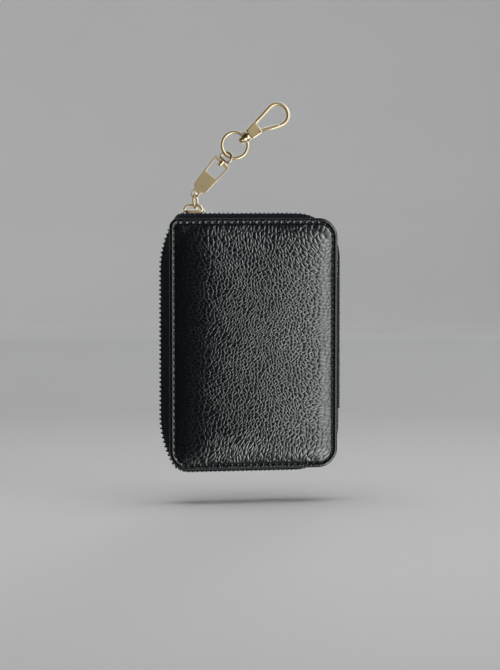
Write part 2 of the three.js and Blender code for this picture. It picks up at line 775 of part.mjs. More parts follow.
function swivelGeometry() {
  const low = loopBase + LOOP_WIRE / 2;
  const corner = LOOP_WIRE;
  const path = [
    ...arcPoints(low + corner, LOOP_HALF_WIDTH - corner, corner, 90, 180, CORNER_STEPS),
    ...arcPoints(low + corner, corner - LOOP_HALF_WIDTH, corner, 180, 270, CORNER_STEPS),
    ...arcPoints(bowMiddle - LOOP_HALF_WIDTH, 0, LOOP_HALF_WIDTH, -90, 90, BEND_STEPS),
  ];
  const loop = wire(path, roundSection(LOOP_WIRE), true);
  const headEnd = windowEnd - CLEAR;
  const headStart = headEnd - RIVET_HEAD_LENGTH;
  const profile = [
    new THREE.Vector2(0, headStart),
    new THREE.Vector2(RIVET_HEAD / 2 - RIVET_CHAMFER, headStart),
    new THREE.Vector2(RIVET_HEAD / 2, headStart + RIVET_CHAMFER),
    new THREE.Vector2(RIVET_HEAD / 2, headEnd),
    new THREE.Vector2(RIVET_SHAFT / 2, headEnd),
    new THREE.Vector2(RIVET_SHAFT / 2, low),
    new THREE.Vector2(0, low),
  ];
  const rivet = new THREE.LatheGeometry(profile, TURNED_SIDES);
  rivet.rotateZ(-Math.PI / 2);
  return geometryOf(joined([loop, rivet]));
}

const loopTurn = THREE.MathUtils.degToRad(LOOP_TURN);
const loopAcross = plateAcross.clone().applyAxisAngle(plateAxis, loopTurn);
addPiece('plate_swivel', swivelGeometry(), 'gold', groupAt(neckHole, plateAxis, loopAcross));

// Key ring, face on, through the loop
const ringRadius = (KEY_RING_DIAMETER - KEY_RING_WIRE) / 2;
const ringPlace = neckHole.clone()
  .addScaledVector(plateAxis, ringMiddle)
  .addScaledVector(chainDirection(KEY_RING_ANGLE), ringRadius);
const ringGroup = groupAt(ringPlace, chainDirection(0), chainDirection(90));
const ringPath = arcPoints(0, 0, ringRadius, 0, 360, RING_STEPS).slice(0, -1);
addPiece('key_ring', wire(ringPath, roundSection(KEY_RING_WIRE), true), 'gold', ringGroup);

// Hook swivel: a turned knob and grooved collar, bored for the key ring, with a headed post in the
// hook's base
const hookAxis = chainDirection(HOOK_ANGLE);
const hookAcross = chainDirection(HOOK_ANGLE + 90);
const eyePlace = ringPlace.clone().addScaledVector(hookAxis, ringRadius);
const ringWay = KEY_RING_WIRE / 2 + CLEAR;
const collarEnd = ringWay + COLLAR_WALL;
const baseStart = collarEnd + CLEAR;

function eyeGeometry() {
  const headStart = baseStart + MOUTH_LENGTH + CLEAR;
  const groove = COLLAR_RADIUS - COLLAR_GROOVE;
  const knobStart = -collarEnd - KNOB_LENGTH;
  const profile = [
    [0, knobStart],
    [KNOB_RADIUS * Math.SQRT1_2, knobStart],
    [KNOB_RADIUS, knobStart + KNOB_RADIUS * (1 - Math.SQRT1_2)],
    [KNOB_RADIUS, -collarEnd],
    [groove, -collarEnd],
    [groove, 0],
    [COLLAR_RADIUS, COLLAR_GROOVE],
    [COLLAR_RADIUS, collarEnd],
    [POST / 2, collarEnd],
    [POST / 2, headStart],
    [POST_HEAD / 2, headStart],
    [POST_HEAD / 2, headStart + POST_HEAD_LENGTH],
    [0, headStart + POST_HEAD_LENGTH],
  ];
  const points = profile.map(([radius, along]) => new THREE.Vector2(radius, along));
  const turned = new THREE.LatheGeometry(points, 2 * TURNED_SIDES);
  turned.rotateZ(-Math.PI / 2);
  const way = wire(ringPath, roundSection(2 * ringWay), true);
  way.rotateX(Math.PI / 2);
  way.translate(-ringRadius, 0, 0);
  return geometryOf(solid(turned).subtract(solid(way)));
}

addPiece('hook_swivel', eyeGeometry(), 'gold', groupAt(eyePlace, hookAxis, depthAxis));

// Hook: a base that flares into the straight arm, with a stepped bore for the post and a fork for
// the gate, and the bent hook
const hookGroup = groupAt(
  eyePlace.clone().addScaledVector(hookAxis, baseStart),
  hookAxis,
  hookAcross,
);
const forkHalf = HOOK_DEPTH / 2 + CLEAR;
const chamberEnd = MOUTH_LENGTH + POST_HEAD_LENGTH + 2 * CLEAR;
const forkStart = GATE_PIN_U - GATE_HEEL - 2 * CLEAR - SPRING_LEAF;

function hookGeometry() {
  const low = -HOOK_BASE_WIDTH / 2;
  const bow = arcPoints(
    HOOK_LOOP_U,
    HOOK_LOOP_V,
    HOOK_LOOP_RADIUS,
    HOOK_ARM_ANGLE,
    HOOK_NOSE_ANGLE,
    2 * BEND_STEPS,
  );
  const slope = Math.tan(THREE.MathUtils.degToRad(HOOK_ARM_ANGLE - 90));
  const armAt = (u) => bow[0].y - slope * (bow[0].x - u);
  const armHalf = HOOK_WIRE / 2 * Math.hypot(1, slope);
  const edgeAt = (u) => armAt(u) + armHalf + HOOK_BASE_LIP;
  const outline = roundedPath([
    [0, 0],
    [0, low, HOOK_BASE_CORNER],
    [HOOK_BASE_LENGTH, low - HOOK_BASE_FLARE, HOOK_BASE_CORNER],
    [HOOK_BASE_LENGTH, edgeAt(HOOK_BASE_LENGTH), HOOK_BASE_CORNER],
    [0, edgeAt(0), HOOK_BASE_CORNER],
    [0, 0],
  ], new THREE.Shape());
  const block = extruded(outline, HOOK_BASE_DEPTH);
  block.translate(0, 0, -HOOK_BASE_DEPTH / 2);
  const armStart = HOOK_BASE_LENGTH - HOOK_WIRE;
  const path = [new THREE.Vector2(armStart, armAt(armStart)), ...bow];
  const bend = wire(path, roundSection(HOOK_WIRE, HOOK_DEPTH), false);
  const webEnd = HOOK_BASE_LENGTH + HOOK_WEB;
  const webCorner = armAt(HOOK_BASE_LENGTH) - armHalf;
  const webOutline = new THREE.Shape();
  webOutline.moveTo(armStart, armAt(armStart));
  webOutline.lineTo(armStart, webCorner - HOOK_WEB);
  webOutline.lineTo(HOOK_BASE_LENGTH, webCorner - HOOK_WEB);
  webOutline.quadraticCurveTo(HOOK_BASE_LENGTH, webCorner, webEnd, armAt(webEnd));
  const web = extruded(webOutline, HOOK_WEB_DEPTH);
  web.translate(0, 0, -HOOK_WEB_DEPTH / 2);
  const forkTop = GATE_PIN_V + GATE_HEEL + CLEAR;
  const forkLength = HOOK_BASE_LENGTH + CUT - forkStart;
  const forkHeight = forkTop - low + HOOK_BASE_FLARE + CUT;
  const fork = new THREE.BoxGeometry(forkLength, forkHeight, 2 * forkHalf);
  fork.translate(forkStart + forkLength / 2, forkTop - forkHeight / 2, 0);
  const pinHole = new THREE.CylinderGeometry(
    GATE_PIN / 2 + CLEAR,
    GATE_PIN / 2 + CLEAR,
    HOOK_BASE_DEPTH + 2 * CUT,
    TURNED_SIDES,
  );
  pinHole.rotateX(Math.PI / 2);
  pinHole.translate(GATE_PIN_U, GATE_PIN_V, 0);
  const body = joined([block, bend, web])
    .subtract(solid(fork))
    .subtract(solid(pinHole))
    .subtract(solid(cylinderAlong(POST / 2 + CLEAR, -CUT, chamberEnd)))
    .subtract(solid(cylinderAlong(POST_HEAD / 2 + CLEAR, MOUTH_LENGTH, chamberEnd)));
  return geometryOf(body);
}

addPiece('hook_body', hookGeometry(), 'gold', hookGroup);

// Gate: a heel on the pin and a bar that closes the hook against its nose
const noseInner = HOOK_LOOP_RADIUS - HOOK_WIRE / 2;
const noseOuter = HOOK_LOOP_RADIUS + HOOK_WIRE / 2;
const noseAngle = THREE.MathUtils.degToRad(HOOK_NOSE_ANGLE);
const pinPlace = new THREE.Vector2(GATE_PIN_U, GATE_PIN_V);
const nosePoint = (radius) => new THREE.Vector2(
  HOOK_LOOP_U + radius * Math.cos(noseAngle),
  HOOK_LOOP_V + radius * Math.sin(noseAngle),
);
const noseReach = Math.min(
  nosePoint(noseInner).distanceTo(pinPlace),
  nosePoint(noseOuter).distanceTo(pinPlace),
);
const gateLength = noseReach - CLEAR - GATE_WIDTH ** 2 / (8 * noseReach);

function gateGeometry() {
  const half = GATE_WIDTH / 2;
  const outline = new THREE.Shape();
  const spread = Math.asin(half / GATE_HEEL);
  outline.absarc(0, 0, GATE_HEEL, spread, 2 * Math.PI - spread, false);
  outline.lineTo(gateLength, -half);
  outline.lineTo(gateLength, half);
  const hole = new THREE.Path();
  hole.absarc(0, 0, GATE_PIN / 2 + CLEAR, 0, 2 * Math.PI, true);
  outline.holes.push(hole);
  const gate = extruded(outline, HOOK_DEPTH, BEND_STEPS);
  gate.translate(0, 0, -HOOK_DEPTH / 2);
  return gate;
}

const gate = addPiece('hook_gate', gateGeometry(), 'gold', hookGroup);
gate.position.set(GATE_PIN_U, GATE_PIN_V, 0);
gate.rotation.z = nosePoint(HOOK_LOOP_RADIUS).sub(pinPlace).angle();

const pin = new THREE.CylinderGeometry(GATE_PIN / 2, GATE_PIN / 2, HOOK_BASE_DEPTH, TURNED_SIDES);
pin.rotateX(Math.PI / 2);
pin.translate(GATE_PIN_U, GATE_PIN_V, 0);
addPiece('gate_pin', pin, 'steel', hookGroup);

// Leaf spring in the fork, behind the gate's heel
const leafStart = forkStart + CLEAR;
const leaf = new THREE.BoxGeometry(SPRING_LEAF, 2 * GATE_HEEL - 2 * CLEAR, HOOK_DEPTH);
leaf.translate(leafStart + SPRING_LEAF / 2, GATE_PIN_V, 0);
addPiece('gate_spring', leaf, 'steel', hookGroup);

export default wallet;
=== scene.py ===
# %% [markdown]
# # A padded zip wallet
#
# The wallet is two padded leather covers round a zip, with a chain of metal links on the slider.
# The frame gives every piece its place and its joints. This lesson dresses each piece: leather that
# swells over foam, a woven zip tape with its coil, and polished links. Sizes are in millimetres
# and become metres in one place, where a mesh is made.

# %% Load the frame
import json
import math

import bmesh
import bpy
import numpy as np
from mathutils import Matrix, Vector


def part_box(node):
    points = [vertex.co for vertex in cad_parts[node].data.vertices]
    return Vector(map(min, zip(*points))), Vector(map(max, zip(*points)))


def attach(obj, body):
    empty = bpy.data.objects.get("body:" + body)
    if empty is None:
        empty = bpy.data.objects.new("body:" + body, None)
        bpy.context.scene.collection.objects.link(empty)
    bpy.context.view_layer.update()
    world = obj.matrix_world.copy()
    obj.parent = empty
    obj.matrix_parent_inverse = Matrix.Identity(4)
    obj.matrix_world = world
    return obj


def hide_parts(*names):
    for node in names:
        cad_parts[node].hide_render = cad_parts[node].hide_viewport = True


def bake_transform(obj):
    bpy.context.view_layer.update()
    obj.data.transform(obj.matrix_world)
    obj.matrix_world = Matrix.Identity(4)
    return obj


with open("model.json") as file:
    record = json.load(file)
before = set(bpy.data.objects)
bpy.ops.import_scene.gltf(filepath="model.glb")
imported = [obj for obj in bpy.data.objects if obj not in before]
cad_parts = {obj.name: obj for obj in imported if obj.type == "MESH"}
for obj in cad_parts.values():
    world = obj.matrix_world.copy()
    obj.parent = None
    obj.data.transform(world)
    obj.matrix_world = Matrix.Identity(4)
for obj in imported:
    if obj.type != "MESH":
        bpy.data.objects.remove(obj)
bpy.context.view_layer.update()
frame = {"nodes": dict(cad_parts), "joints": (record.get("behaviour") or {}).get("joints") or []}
scene = bpy.context.scene
joints = {joint["name"]: joint for joint in frame["joints"]}
MM = 0.001

# %% [markdown]
# ## Small helpers
#
# A few functions carry the whole lesson. One turns a written colour into light, one adds a node with its
# settings and links, one makes a mesh from points in millimetres, and one seats a finished piece on its body.


# %% Colours and nodes
def linear(colour):
    channels = [int(colour[k:k + 2], 16) / 255 for k in (1, 3, 5)]
    return [c / 12.92 if c <= 0.04045 else ((c + 0.055) / 1.055) ** 2.4 for c in channels] + [1.0]


def add(tree, kind, inputs=None, **settings):
    node = tree.nodes.new(kind)
    for name, value in settings.items():
        setattr(node, name, value)
    for key, value in (inputs or {}).items():
        if isinstance(value, bpy.types.NodeSocket):
            tree.links.new(value, node.inputs[key])
        else:
            node.inputs[key].default_value = value
    return node


print("middle grey is", round(linear("#808080")[0], 3), "in light")

# %% Meshes and pieces
WELD = 1e-7
WELD_CAD = 1e-6


# Welds a mesh, melts flat faces together and rolls the edges if asked, and points its faces outward
def cleaned(mesh, weld, flat=None, roll=None):
    shape = bmesh.new()
    shape.from_mesh(mesh)
    bmesh.ops.remove_doubles(shape, verts=shape.verts, dist=weld)
    if flat:
        bmesh.ops.dissolve_limit(shape, angle_limit=math.radians(flat), verts=shape.verts, edges=shape.edges)
    if roll:
        bmesh.ops.bevel(shape, geom=shape.edges[:], offset=roll * MM, segments=3, affect="EDGES", profile=0.5)
    bmesh.ops.recalc_face_normals(shape, faces=shape.faces)
    shape.to_mesh(mesh)
    shape.free()
    return mesh


def shaded(mesh, sharp=None):
    mesh.shade_smooth()
    if sharp:
        mesh.set_sharp_from_angle(angle=math.radians(sharp))
    return mesh


def mesh_from(points, faces, sharp=None):
    mesh = bpy.data.meshes.new("shape")
    mesh.from_pydata((np.asarray(points, float) * MM).tolist(), [], faces)
    return shaded(cleaned(mesh, WELD), sharp)


def joined(*meshes):
    shape = bmesh.new()
    for mesh in meshes:
        shape.from_mesh(mesh)
    whole = bpy.data.meshes.new("shape")
    shape.to_mesh(whole)
    shape.free()
    return whole


def evaluated(obj):
    depsgraph = bpy.context.evaluated_depsgraph_get()
    mesh = bpy.data.meshes.new_from_object(obj.evaluated_get(depsgraph))
    bpy.data.objects.remove(obj)
    return mesh


def loose(mesh):
    obj = bpy.data.objects.new("work", mesh)
    scene.collection.objects.link(obj)
    return obj


def piece(name, mesh, material, body, slot, *replaced):
    obj = bpy.data.objects.new(name, mesh)
    scene.collection.objects.link(obj)
    mesh.name = name
    mesh.materials.clear()
    mesh.materials.append(material)
    if body:
        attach(obj, body)
    if replaced:
        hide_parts(*replaced)
    print(f"{name}: {len(mesh.polygons)} faces")
    return obj


print("points closer than", WELD, "m are welded")

# %% [markdown]
# ## Camera, floor and light
#
# The view is a long lens from a little left of the front, so the closed side of the zip shows as a thin band.
# The stage is one pale round sweep under a soft lamp, so every side has the same backdrop. A lamp alone
# would leave black leather flat, because gloss is drawn by what it mirrors. So the sky is painted: a dark
# flag hangs in front of the wallet, with two soft panels on its right. Slopes that turn to the right shine,
# and the others stay black. Beyond the flag the room is pale, which fills the metal, and a third panel there
# draws the back cover. The sweep and the lamp are kept out of the mirror.

# %% Camera
VIEW_AZIMUTH = -12.0
VIEW_ELEVATION = 3.2
VIEW_DISTANCE = 1200.0
VIEW_TARGET = (0.0, 0.0, 62.5)
FRAME_PIXELS = (500, 670)
MM_PER_PIXEL = 0.4575
FLOAT_HEIGHT = 14.0

turn = math.radians(VIEW_AZIMUTH)
tilt = math.radians(VIEW_ELEVATION)
back = Vector((math.sin(turn) * math.cos(tilt), -math.cos(turn) * math.cos(tilt), math.sin(tilt)))
camera_data = bpy.data.cameras.new("camera")
camera_data.sensor_width = 36.0
camera_data.lens = camera_data.sensor_width * VIEW_DISTANCE / (FRAME_PIXELS[1] * MM_PER_PIXEL)
camera = bpy.data.objects.new("camera", camera_data)
scene.collection.objects.link(camera)
camera.location = (Vector(VIEW_TARGET) + back * VIEW_DISTANCE) * MM
camera.rotation_euler = (-back).to_track_quat("-Z", "Y").to_euler()
scene.camera = camera
print("lens", round(camera_data.lens, 1), "mm")


# %% Sweep of floor and wall
ROOM_RADIUS = 1500.0
WALL_HEIGHT = 1500.0
SWEEP_RADIUS = 150.0
SWEEP_STEPS = 12
ROOM_SIDES = 96
CLOUDS_PER_METRE = 6.0
MOTTLE = 0.12
# paler away from the lamp, so that the far paper looks as bright as the near; places are shares of the radius
PAPER_TONES = ((0.33, "#ACAAAB"), (0.65, "#CDCBCC"), (0.85, "#DAD8D9"), (0.93, "#EAE8E9"), (1.0, "#C8C6C7"))


def stage_material():
    material = bpy.data.materials.new("matt_grey_paper")
    material.use_nodes = True
    tree = material.node_tree
    shader = tree.nodes["Principled BSDF"]
    shader.inputs["Roughness"].default_value = 0.9
    place = add(tree, "ShaderNodeTexCoord").outputs["Object"]
    cloud = add(tree, "ShaderNodeTexNoise", {"Vector": place, "Scale": CLOUDS_PER_METRE, "Detail": 6.0})
    out = add(tree, "ShaderNodeVectorMath", {0: place}, operation="LENGTH").outputs["Value"]
    share = add(tree, "ShaderNodeMath", {0: out, 1: ROOM_RADIUS * MM}, operation="DIVIDE").outputs[0]
    paper = add(tree, "ShaderNodeValToRGB", {0: share})
    stops = paper.color_ramp.elements
    for k, (position, colour) in enumerate(PAPER_TONES):
        stop = stops[k] if k < 2 else stops.new(position)
        stop.position, stop.color = position, linear(colour)
    mottle = add(tree, "ShaderNodeMath", {0: cloud.outputs["Fac"], 1: MOTTLE}, operation="MULTIPLY")
    tone = add(tree, "ShaderNodeMix", {0: mottle.outputs[0], 6: paper.outputs[0], 7: linear("#9A9899")},
               data_type="RGBA")
    tree.links.new(tone.outputs[2], shader.inputs["Base Color"])
    return material


profile = [(1.0, 0.0), (ROOM_RADIUS / 3, 0.0)]
for step in range(SWEEP_STEPS + 1):
    angle = math.radians(90 * step / SWEEP_STEPS)
    profile.append((ROOM_RADIUS - SWEEP_RADIUS + SWEEP_RADIUS * math.sin(angle),
                    SWEEP_RADIUS - SWEEP_RADIUS * math.cos(angle)))
profile.append((ROOM_RADIUS, WALL_HEIGHT))
count = len(profile)
stage_points = []
for side in range(ROOM_SIDES):
    angle = 2 * math.pi * side / ROOM_SIDES
    stage_points += [(out * math.cos(angle), out * math.sin(angle), up - FLOAT_HEIGHT) for out, up in profile]
stage_faces = [tuple(range(0, count * ROOM_SIDES, count))]
for side in range(ROOM_SIDES):
    here, there = side * count, (side + 1) % ROOM_SIDES * count
    stage_faces += [(here + k, here + k + 1, there + k + 1, there + k) for k in range(count - 1)]
sweep = bpy.data.objects.new("sweep", mesh_from(stage_points, stage_faces))
scene.collection.objects.link(sweep)
sweep.data.materials.append(stage_material())
sweep.visible_glossy = False
sweep.visible_shadow = False
print("floor", FLOAT_HEIGHT, "mm under the wallet")


# %% Lamp
LAMP_ELEVATION = 82.0
LAMP_DISTANCE = 800.0
LAMP_SIZE = (1000.0, 700.0)
LAMP_WATTS = 7.0

lamp_tilt = math.radians(LAMP_ELEVATION)
away = Vector((0, -math.cos(lamp_tilt), math.sin(lamp_tilt)))
lamp_data = bpy.data.lights.new("top", "AREA")
lamp_data.shape = "RECTANGLE"
lamp_data.size, lamp_data.size_y = LAMP_SIZE[0] * MM, LAMP_SIZE[1] * MM
lamp_data.energy = LAMP_WATTS
lamp = bpy.data.objects.new("top", lamp_data)
scene.collection.objects.link(lamp)
lamp.location = (Vector(VIEW_TARGET) + away * LAMP_DISTANCE) * MM
lamp.rotation_euler = (-away).to_track_quat("-Z", "Y").to_euler()
lamp.visible_glossy = False
print("lamp of", LAMP_WATTS, "W")

# %% Sky with a flag and soft panels
# each is azimuth, elevation, half width and half height, in degrees
FLAG = (-6, 0, 80, 72)
PANELS = ((36, 11, 8, 10), (32, -26, 8.5, 15), (157, 5, 8, 14))
FLAG_EDGE = 10
FLAG_LIGHT, ROOM_LIGHT, PANEL_LIGHT = 0.02, 0.5, 9.5

scene.view_settings.view_transform = "Standard"
world = bpy.data.worlds.new("studio")
scene.world = world
world.use_nodes = True
tree = world.node_tree
direction = add(tree, "ShaderNodeTexCoord").outputs["Generated"]
split = add(tree, "ShaderNodeSeparateXYZ", {0: direction})
ahead = add(tree, "ShaderNodeMath", {0: split.outputs["Y"], 1: -1.0}, operation="MULTIPLY")
bearing = add(tree, "ShaderNodeMath", {0: split.outputs["X"], 1: ahead.outputs[0]},
              operation="ARCTAN2").outputs[0]
rise = add(tree, "ShaderNodeMath", {0: split.outputs["Z"]}, operation="ARCSINE").outputs[0]


def away_from(value, middle):
    from_middle = add(tree, "ShaderNodeMath", {0: value, 1: math.radians(middle)}, operation="SUBTRACT")
    return add(tree, "ShaderNodeMath", {0: from_middle.outputs[0]}, operation="ABSOLUTE").outputs[0]


# A soft panel on the sky: brightest in its middle, half as bright at its half width and its half height
def soft_panel(azimuth, elevation, half_width, half_height):
    shares = []
    for value, middle, half in ((bearing, azimuth, half_width), (rise, elevation, half_height)):
        share = add(tree, "ShaderNodeMath", {0: away_from(value, middle), 1: math.radians(half)},
                    operation="DIVIDE")
        squared = add(tree, "ShaderNodeMath", {0: share.outputs[0], 1: 2.0}, operation="POWER")
        shares.append(squared.outputs[0])
    total = add(tree, "ShaderNodeMath", {0: shares[0], 1: shares[1]}, operation="ADD")
    fade = add(tree, "ShaderNodeMath", {0: 0.5, 1: total.outputs[0]}, operation="POWER")
    return add(tree, "ShaderNodeMath", {0: fade.outputs[0], 1: PANEL_LIGHT}, operation="MULTIPLY").outputs[0]


# The pale room: nothing behind the flag, full strength past its soft edge
def room_past_flag(azimuth, elevation, half_width, half_height):
    past = []
    for value, middle, half in ((bearing, azimuth, half_width), (rise, elevation, half_height)):
        past.append(add(tree, "ShaderNodeMapRange", {
            "Value": away_from(value, middle), "From Min": math.radians(half - FLAG_EDGE),
            "From Max": math.radians(half + FLAG_EDGE), "To Max": ROOM_LIGHT},
            interpolation_type="SMOOTHSTEP").outputs[0])
    return add(tree, "ShaderNodeMath", {0: past[0], 1: past[1]}, operation="MAXIMUM").outputs[0]


level = add(tree, "ShaderNodeMath", {0: FLAG_LIGHT, 1: room_past_flag(*FLAG)}, operation="ADD").outputs[0]
for panel_shape in PANELS:
    level = add(tree, "ShaderNodeMath", {0: level, 1: soft_panel(*panel_shape)}, operation="ADD").outputs[0]
tree.nodes["Background"].inputs["Color"].default_value = linear("#F9FFFD")
tree.links.new(level, tree.nodes["Background"].inputs["Strength"])
print("sky of", len(tree.nodes), "nodes")

# %% [markdown]
# ## Finishes
#
# Each material starts from what the real one is and how its surface was made. A few helpers do what every
# finish needs: two tones by a pattern, an uneven gloss, and a relief of a depth in millimetres.


# %% Helpers for finishes
def new_finish(name, roughness, metallic=0.0):
    material = bpy.data.materials.new(name)
    material.use_nodes = True
    tree = material.node_tree
    shader = tree.nodes["Principled BSDF"]
    shader.inputs["Roughness"].default_value = roughness
    shader.inputs["Metallic"].default_value = metallic
    return material, tree, shader


def per_mm(size):
    return 1 / (size * MM)


def tones(tree, shader, factor, dark, light):
    mix = add(tree, "ShaderNodeMix", {0: factor, 6: linear(dark), 7: linear(light)}, data_type="RGBA")
    tree.links.new(mix.outputs[2], shader.inputs["Base Color"])


def spread(tree, shader, factor, low, high):
    rough = add(tree, "ShaderNodeMapRange", {0: factor, 3: low, 4: high})
    tree.links.new(rough.outputs[0], shader.inputs["Roughness"])


def relief(tree, shader, height, depth, strength=1.0):
    bump = add(tree, "ShaderNodeBump", {"Height": height, "Distance": depth * MM, "Strength": strength})
    tree.links.new(bump.outputs[0], shader.inputs["Normal"])


print("a 1 mm pattern has a scale of", round(per_mm(1.0)))

# %% [markdown]
# ### Leather
#
# The covers and the spine are cow hide with a pebbled grain, dyed black under a semi-gloss coat, so the
# colour is nearly black and the life is in the gloss. A picture of leather could be wrapped on, but it would
# not follow the pull of the hide. Here a pattern of cells draws each pebble and its crease from a real size,
# and the same nodes raise the mesh later, so that shape and gloss agree. The pockets are smooth calf.

# %% Leather
DOME = 0.36
CREASE = 0.1
PEBBLE_TILT = 0.25
DRIFT = 0.8
DRIFT_SCALE = 0.7
MIDDLE = (0.5, 0.5, 0.5)
WRINKLE = 0.3
WRINKLE_SHARE = 0.15


# The pebbles of a hide are low domes with a thin crease round each. A slow drift bends the creases, and every
# dome leans its own way, so that some catch the light and their neighbours do not. The third number of a
# place says how much of the grain is left there. The same nodes shape the mesh and the finish.
def hide_pattern(tree, place):
    slow = add(tree, "ShaderNodeTexNoise", {"Vector": place, "Scale": DRIFT_SCALE, "Detail": 2.0},
               noise_dimensions="2D")
    centred = add(tree, "ShaderNodeVectorMath", {0: slow.outputs["Color"], 1: MIDDLE}, operation="SUBTRACT")
    bent = add(tree, "ShaderNodeVectorMath", {0: centred.outputs[0], 1: (DRIFT, DRIFT, 0.0), 2: place},
               operation="MULTIPLY_ADD").outputs[0]
    edge = add(tree, "ShaderNodeTexVoronoi", {"Vector": bent, "Scale": 1.0}, voronoi_dimensions="2D",
               feature="DISTANCE_TO_EDGE")
    cell = add(tree, "ShaderNodeTexVoronoi", {"Vector": bent, "Scale": 1.0}, voronoi_dimensions="2D")
    low = add(tree, "ShaderNodeMapRange", {"Value": edge.outputs["Distance"], "From Max": DOME, "To Min": 1.0,
                                           "To Max": 0.0})
    fall = add(tree, "ShaderNodeMath", {0: low.outputs[0], 1: 2.0}, operation="POWER")
    # share away from the crease; the leather finish uses it to paint the creases darker, as painted shade
    top = add(tree, "ShaderNodeMapRange", {"Value": edge.outputs["Distance"], "From Max": CREASE},
              interpolation_type="SMOOTHSTEP")
    from_middle = add(tree, "ShaderNodeVectorMath", {0: bent, 1: cell.outputs["Position"]},
                      operation="SUBTRACT")
    leaning = add(tree, "ShaderNodeVectorMath", {0: cell.outputs["Color"], 1: MIDDLE}, operation="SUBTRACT")
    slope = add(tree, "ShaderNodeVectorMath", {0: from_middle.outputs[0], 1: leaning.outputs[0]},
                operation="DOT_PRODUCT")
    lifted = add(tree, "ShaderNodeMath", {0: slope.outputs["Value"], 1: PEBBLE_TILT, 2: 1.0},
                 operation="MULTIPLY_ADD")
    dome = add(tree, "ShaderNodeMath", {0: lifted.outputs[0], 1: fall.outputs[0]}, operation="SUBTRACT")
    left = add(tree, "ShaderNodeSeparateXYZ", {0: place}).outputs["Z"]
    height = add(tree, "ShaderNodeMath", {0: dome.outputs[0], 1: left}, operation="MULTIPLY")
    return height.outputs[0], top.outputs[0]


# Drum-dyed cow hide under a semi-gloss coat: near black, with a glint on each pebble that leans to the light
def pebbled_leather():
    material, tree, shader = new_finish("pebbled_cow_leather", 0.3)
    shader.inputs["Specular IOR Level"].default_value = 0.7
    hide = add(tree, "ShaderNodeAttribute", attribute_name="hide").outputs["Vector"]
    height, top = hide_pattern(tree, hide)
    wrinkles = add(tree, "ShaderNodeTexVoronoi", {"Vector": hide, "Scale": 1 / WRINKLE},
                   voronoi_dimensions="2D", feature="DISTANCE_TO_EDGE")
    fine = add(tree, "ShaderNodeMath", {0: wrinkles.outputs["Distance"], 1: WRINKLE_SHARE, 2: height},
               operation="MULTIPLY_ADD")
    # painted shade: the creases are coloured darker than the pebble tops, where shade falls into them
    tones(tree, shader, top, "#020405", "#060B0E")
    spread(tree, shader, top, 0.34, 0.18)
    relief(tree, shader, fine.outputs[0], 0.06)
    return material


# Smooth pocket leather: a finer grain and a duller coat
def smooth_leather():
    material, tree, shader = new_finish("smooth_calf_leather", 0.5)
    place = add(tree, "ShaderNodeTexCoord").outputs["Object"]
    grain = add(tree, "ShaderNodeTexVoronoi", {"Vector": place, "Scale": per_mm(0.9)},
                feature="DISTANCE_TO_EDGE")
    cloud = add(tree, "ShaderNodeTexNoise", {"Vector": place, "Scale": per_mm(9.0)})
    tones(tree, shader, cloud.outputs["Fac"], "#101213", "#1D2022")
    spread(tree, shader, cloud.outputs["Fac"], 0.42, 0.58)
    relief(tree, shader, grain.outputs["Distance"], 0.05)
    return material


LEATHER, POCKET_LEATHER = pebbled_leather(), smooth_leather()
print(LEATHER.name, "and", POCKET_LEATHER.name)

# %% [markdown]
# ### Cloth, thread and board
#
# The lining is twill and the zip tape is a woven strip. The coil is nylon, and the seams are sewn with bonded
# thread. Foam and board lie hidden inside. Threads could be modelled one by one, but they are too fine for
# that, so waves and folded coordinates draw the weave. The tape reads its own flat map, because it bends.

# %% Cloth, thread and board
THREAD = 0.55
RIB_DRAWN = 1.5
RIB_SLANT = 38
WAVE_PERIOD = 2 * math.pi / 20


# Polyester twill: fine slanted ribs that catch a dull sheen; real ribs of a thread's width would be too fine
# to show, so they are drawn nearly three times as wide
def twill_lining():
    material, tree, shader = new_finish("polyester_twill", 0.75)
    place = add(tree, "ShaderNodeTexCoord").outputs["Object"]
    shader.inputs["Sheen Weight"].default_value = 0.15
    turn_by = (0.0, math.radians(RIB_SLANT), 0.0)
    slanted = add(tree, "ShaderNodeMapping", {"Vector": place, "Rotation": turn_by})
    ribs = add(tree, "ShaderNodeTexWave", {
        "Vector": slanted.outputs[0], "Scale": WAVE_PERIOD * per_mm(RIB_DRAWN), "Distortion": 0.4,
        "Detail": 2.0}, bands_direction="X")
    tones(tree, shader, ribs.outputs["Fac"], "#15171B", "#2A2D33")
    relief(tree, shader, ribs.outputs["Fac"], 0.08)
    return material


# Woven zip tape: herringbone ribs along the tape, matt black with a cold tint
def woven_tape():
    material, tree, shader = new_finish("woven_zip_tape", 0.85)
    place = add(tree, "ShaderNodeTexCoord").outputs["UV"]
    shader.inputs["Specular IOR Level"].default_value = 0.15
    split = add(tree, "ShaderNodeSeparateXYZ", {0: place})
    fold = add(tree, "ShaderNodeMath", {0: split.outputs["Y"], 1: 2 * THREAD}, operation="PINGPONG")
    slant = add(tree, "ShaderNodeMath", {0: split.outputs["X"], 1: fold.outputs[0]}, operation="ADD")
    ribs = add(tree, "ShaderNodeMath", {0: slant.outputs[0], 1: THREAD}, operation="PINGPONG")
    share = add(tree, "ShaderNodeMath", {0: ribs.outputs[0], 1: THREAD}, operation="DIVIDE")
    tones(tree, shader, share.outputs[0], "#0A0D11", "#1B2027")
    relief(tree, shader, share.outputs[0], 0.12)
    return material


# Nylon coil: smooth drawn thread with a small gloss
def nylon_coil():
    material, tree, shader = new_finish("black_nylon_coil", 0.35)
    place = add(tree, "ShaderNodeTexCoord").outputs["Object"]
    cloud = add(tree, "ShaderNodeTexNoise", {"Vector": place, "Scale": per_mm(3.0)})
    tones(tree, shader, cloud.outputs["Fac"], "#060708", "#0F1113")
    spread(tree, shader, cloud.outputs["Fac"], 0.28, 0.42)
    return material


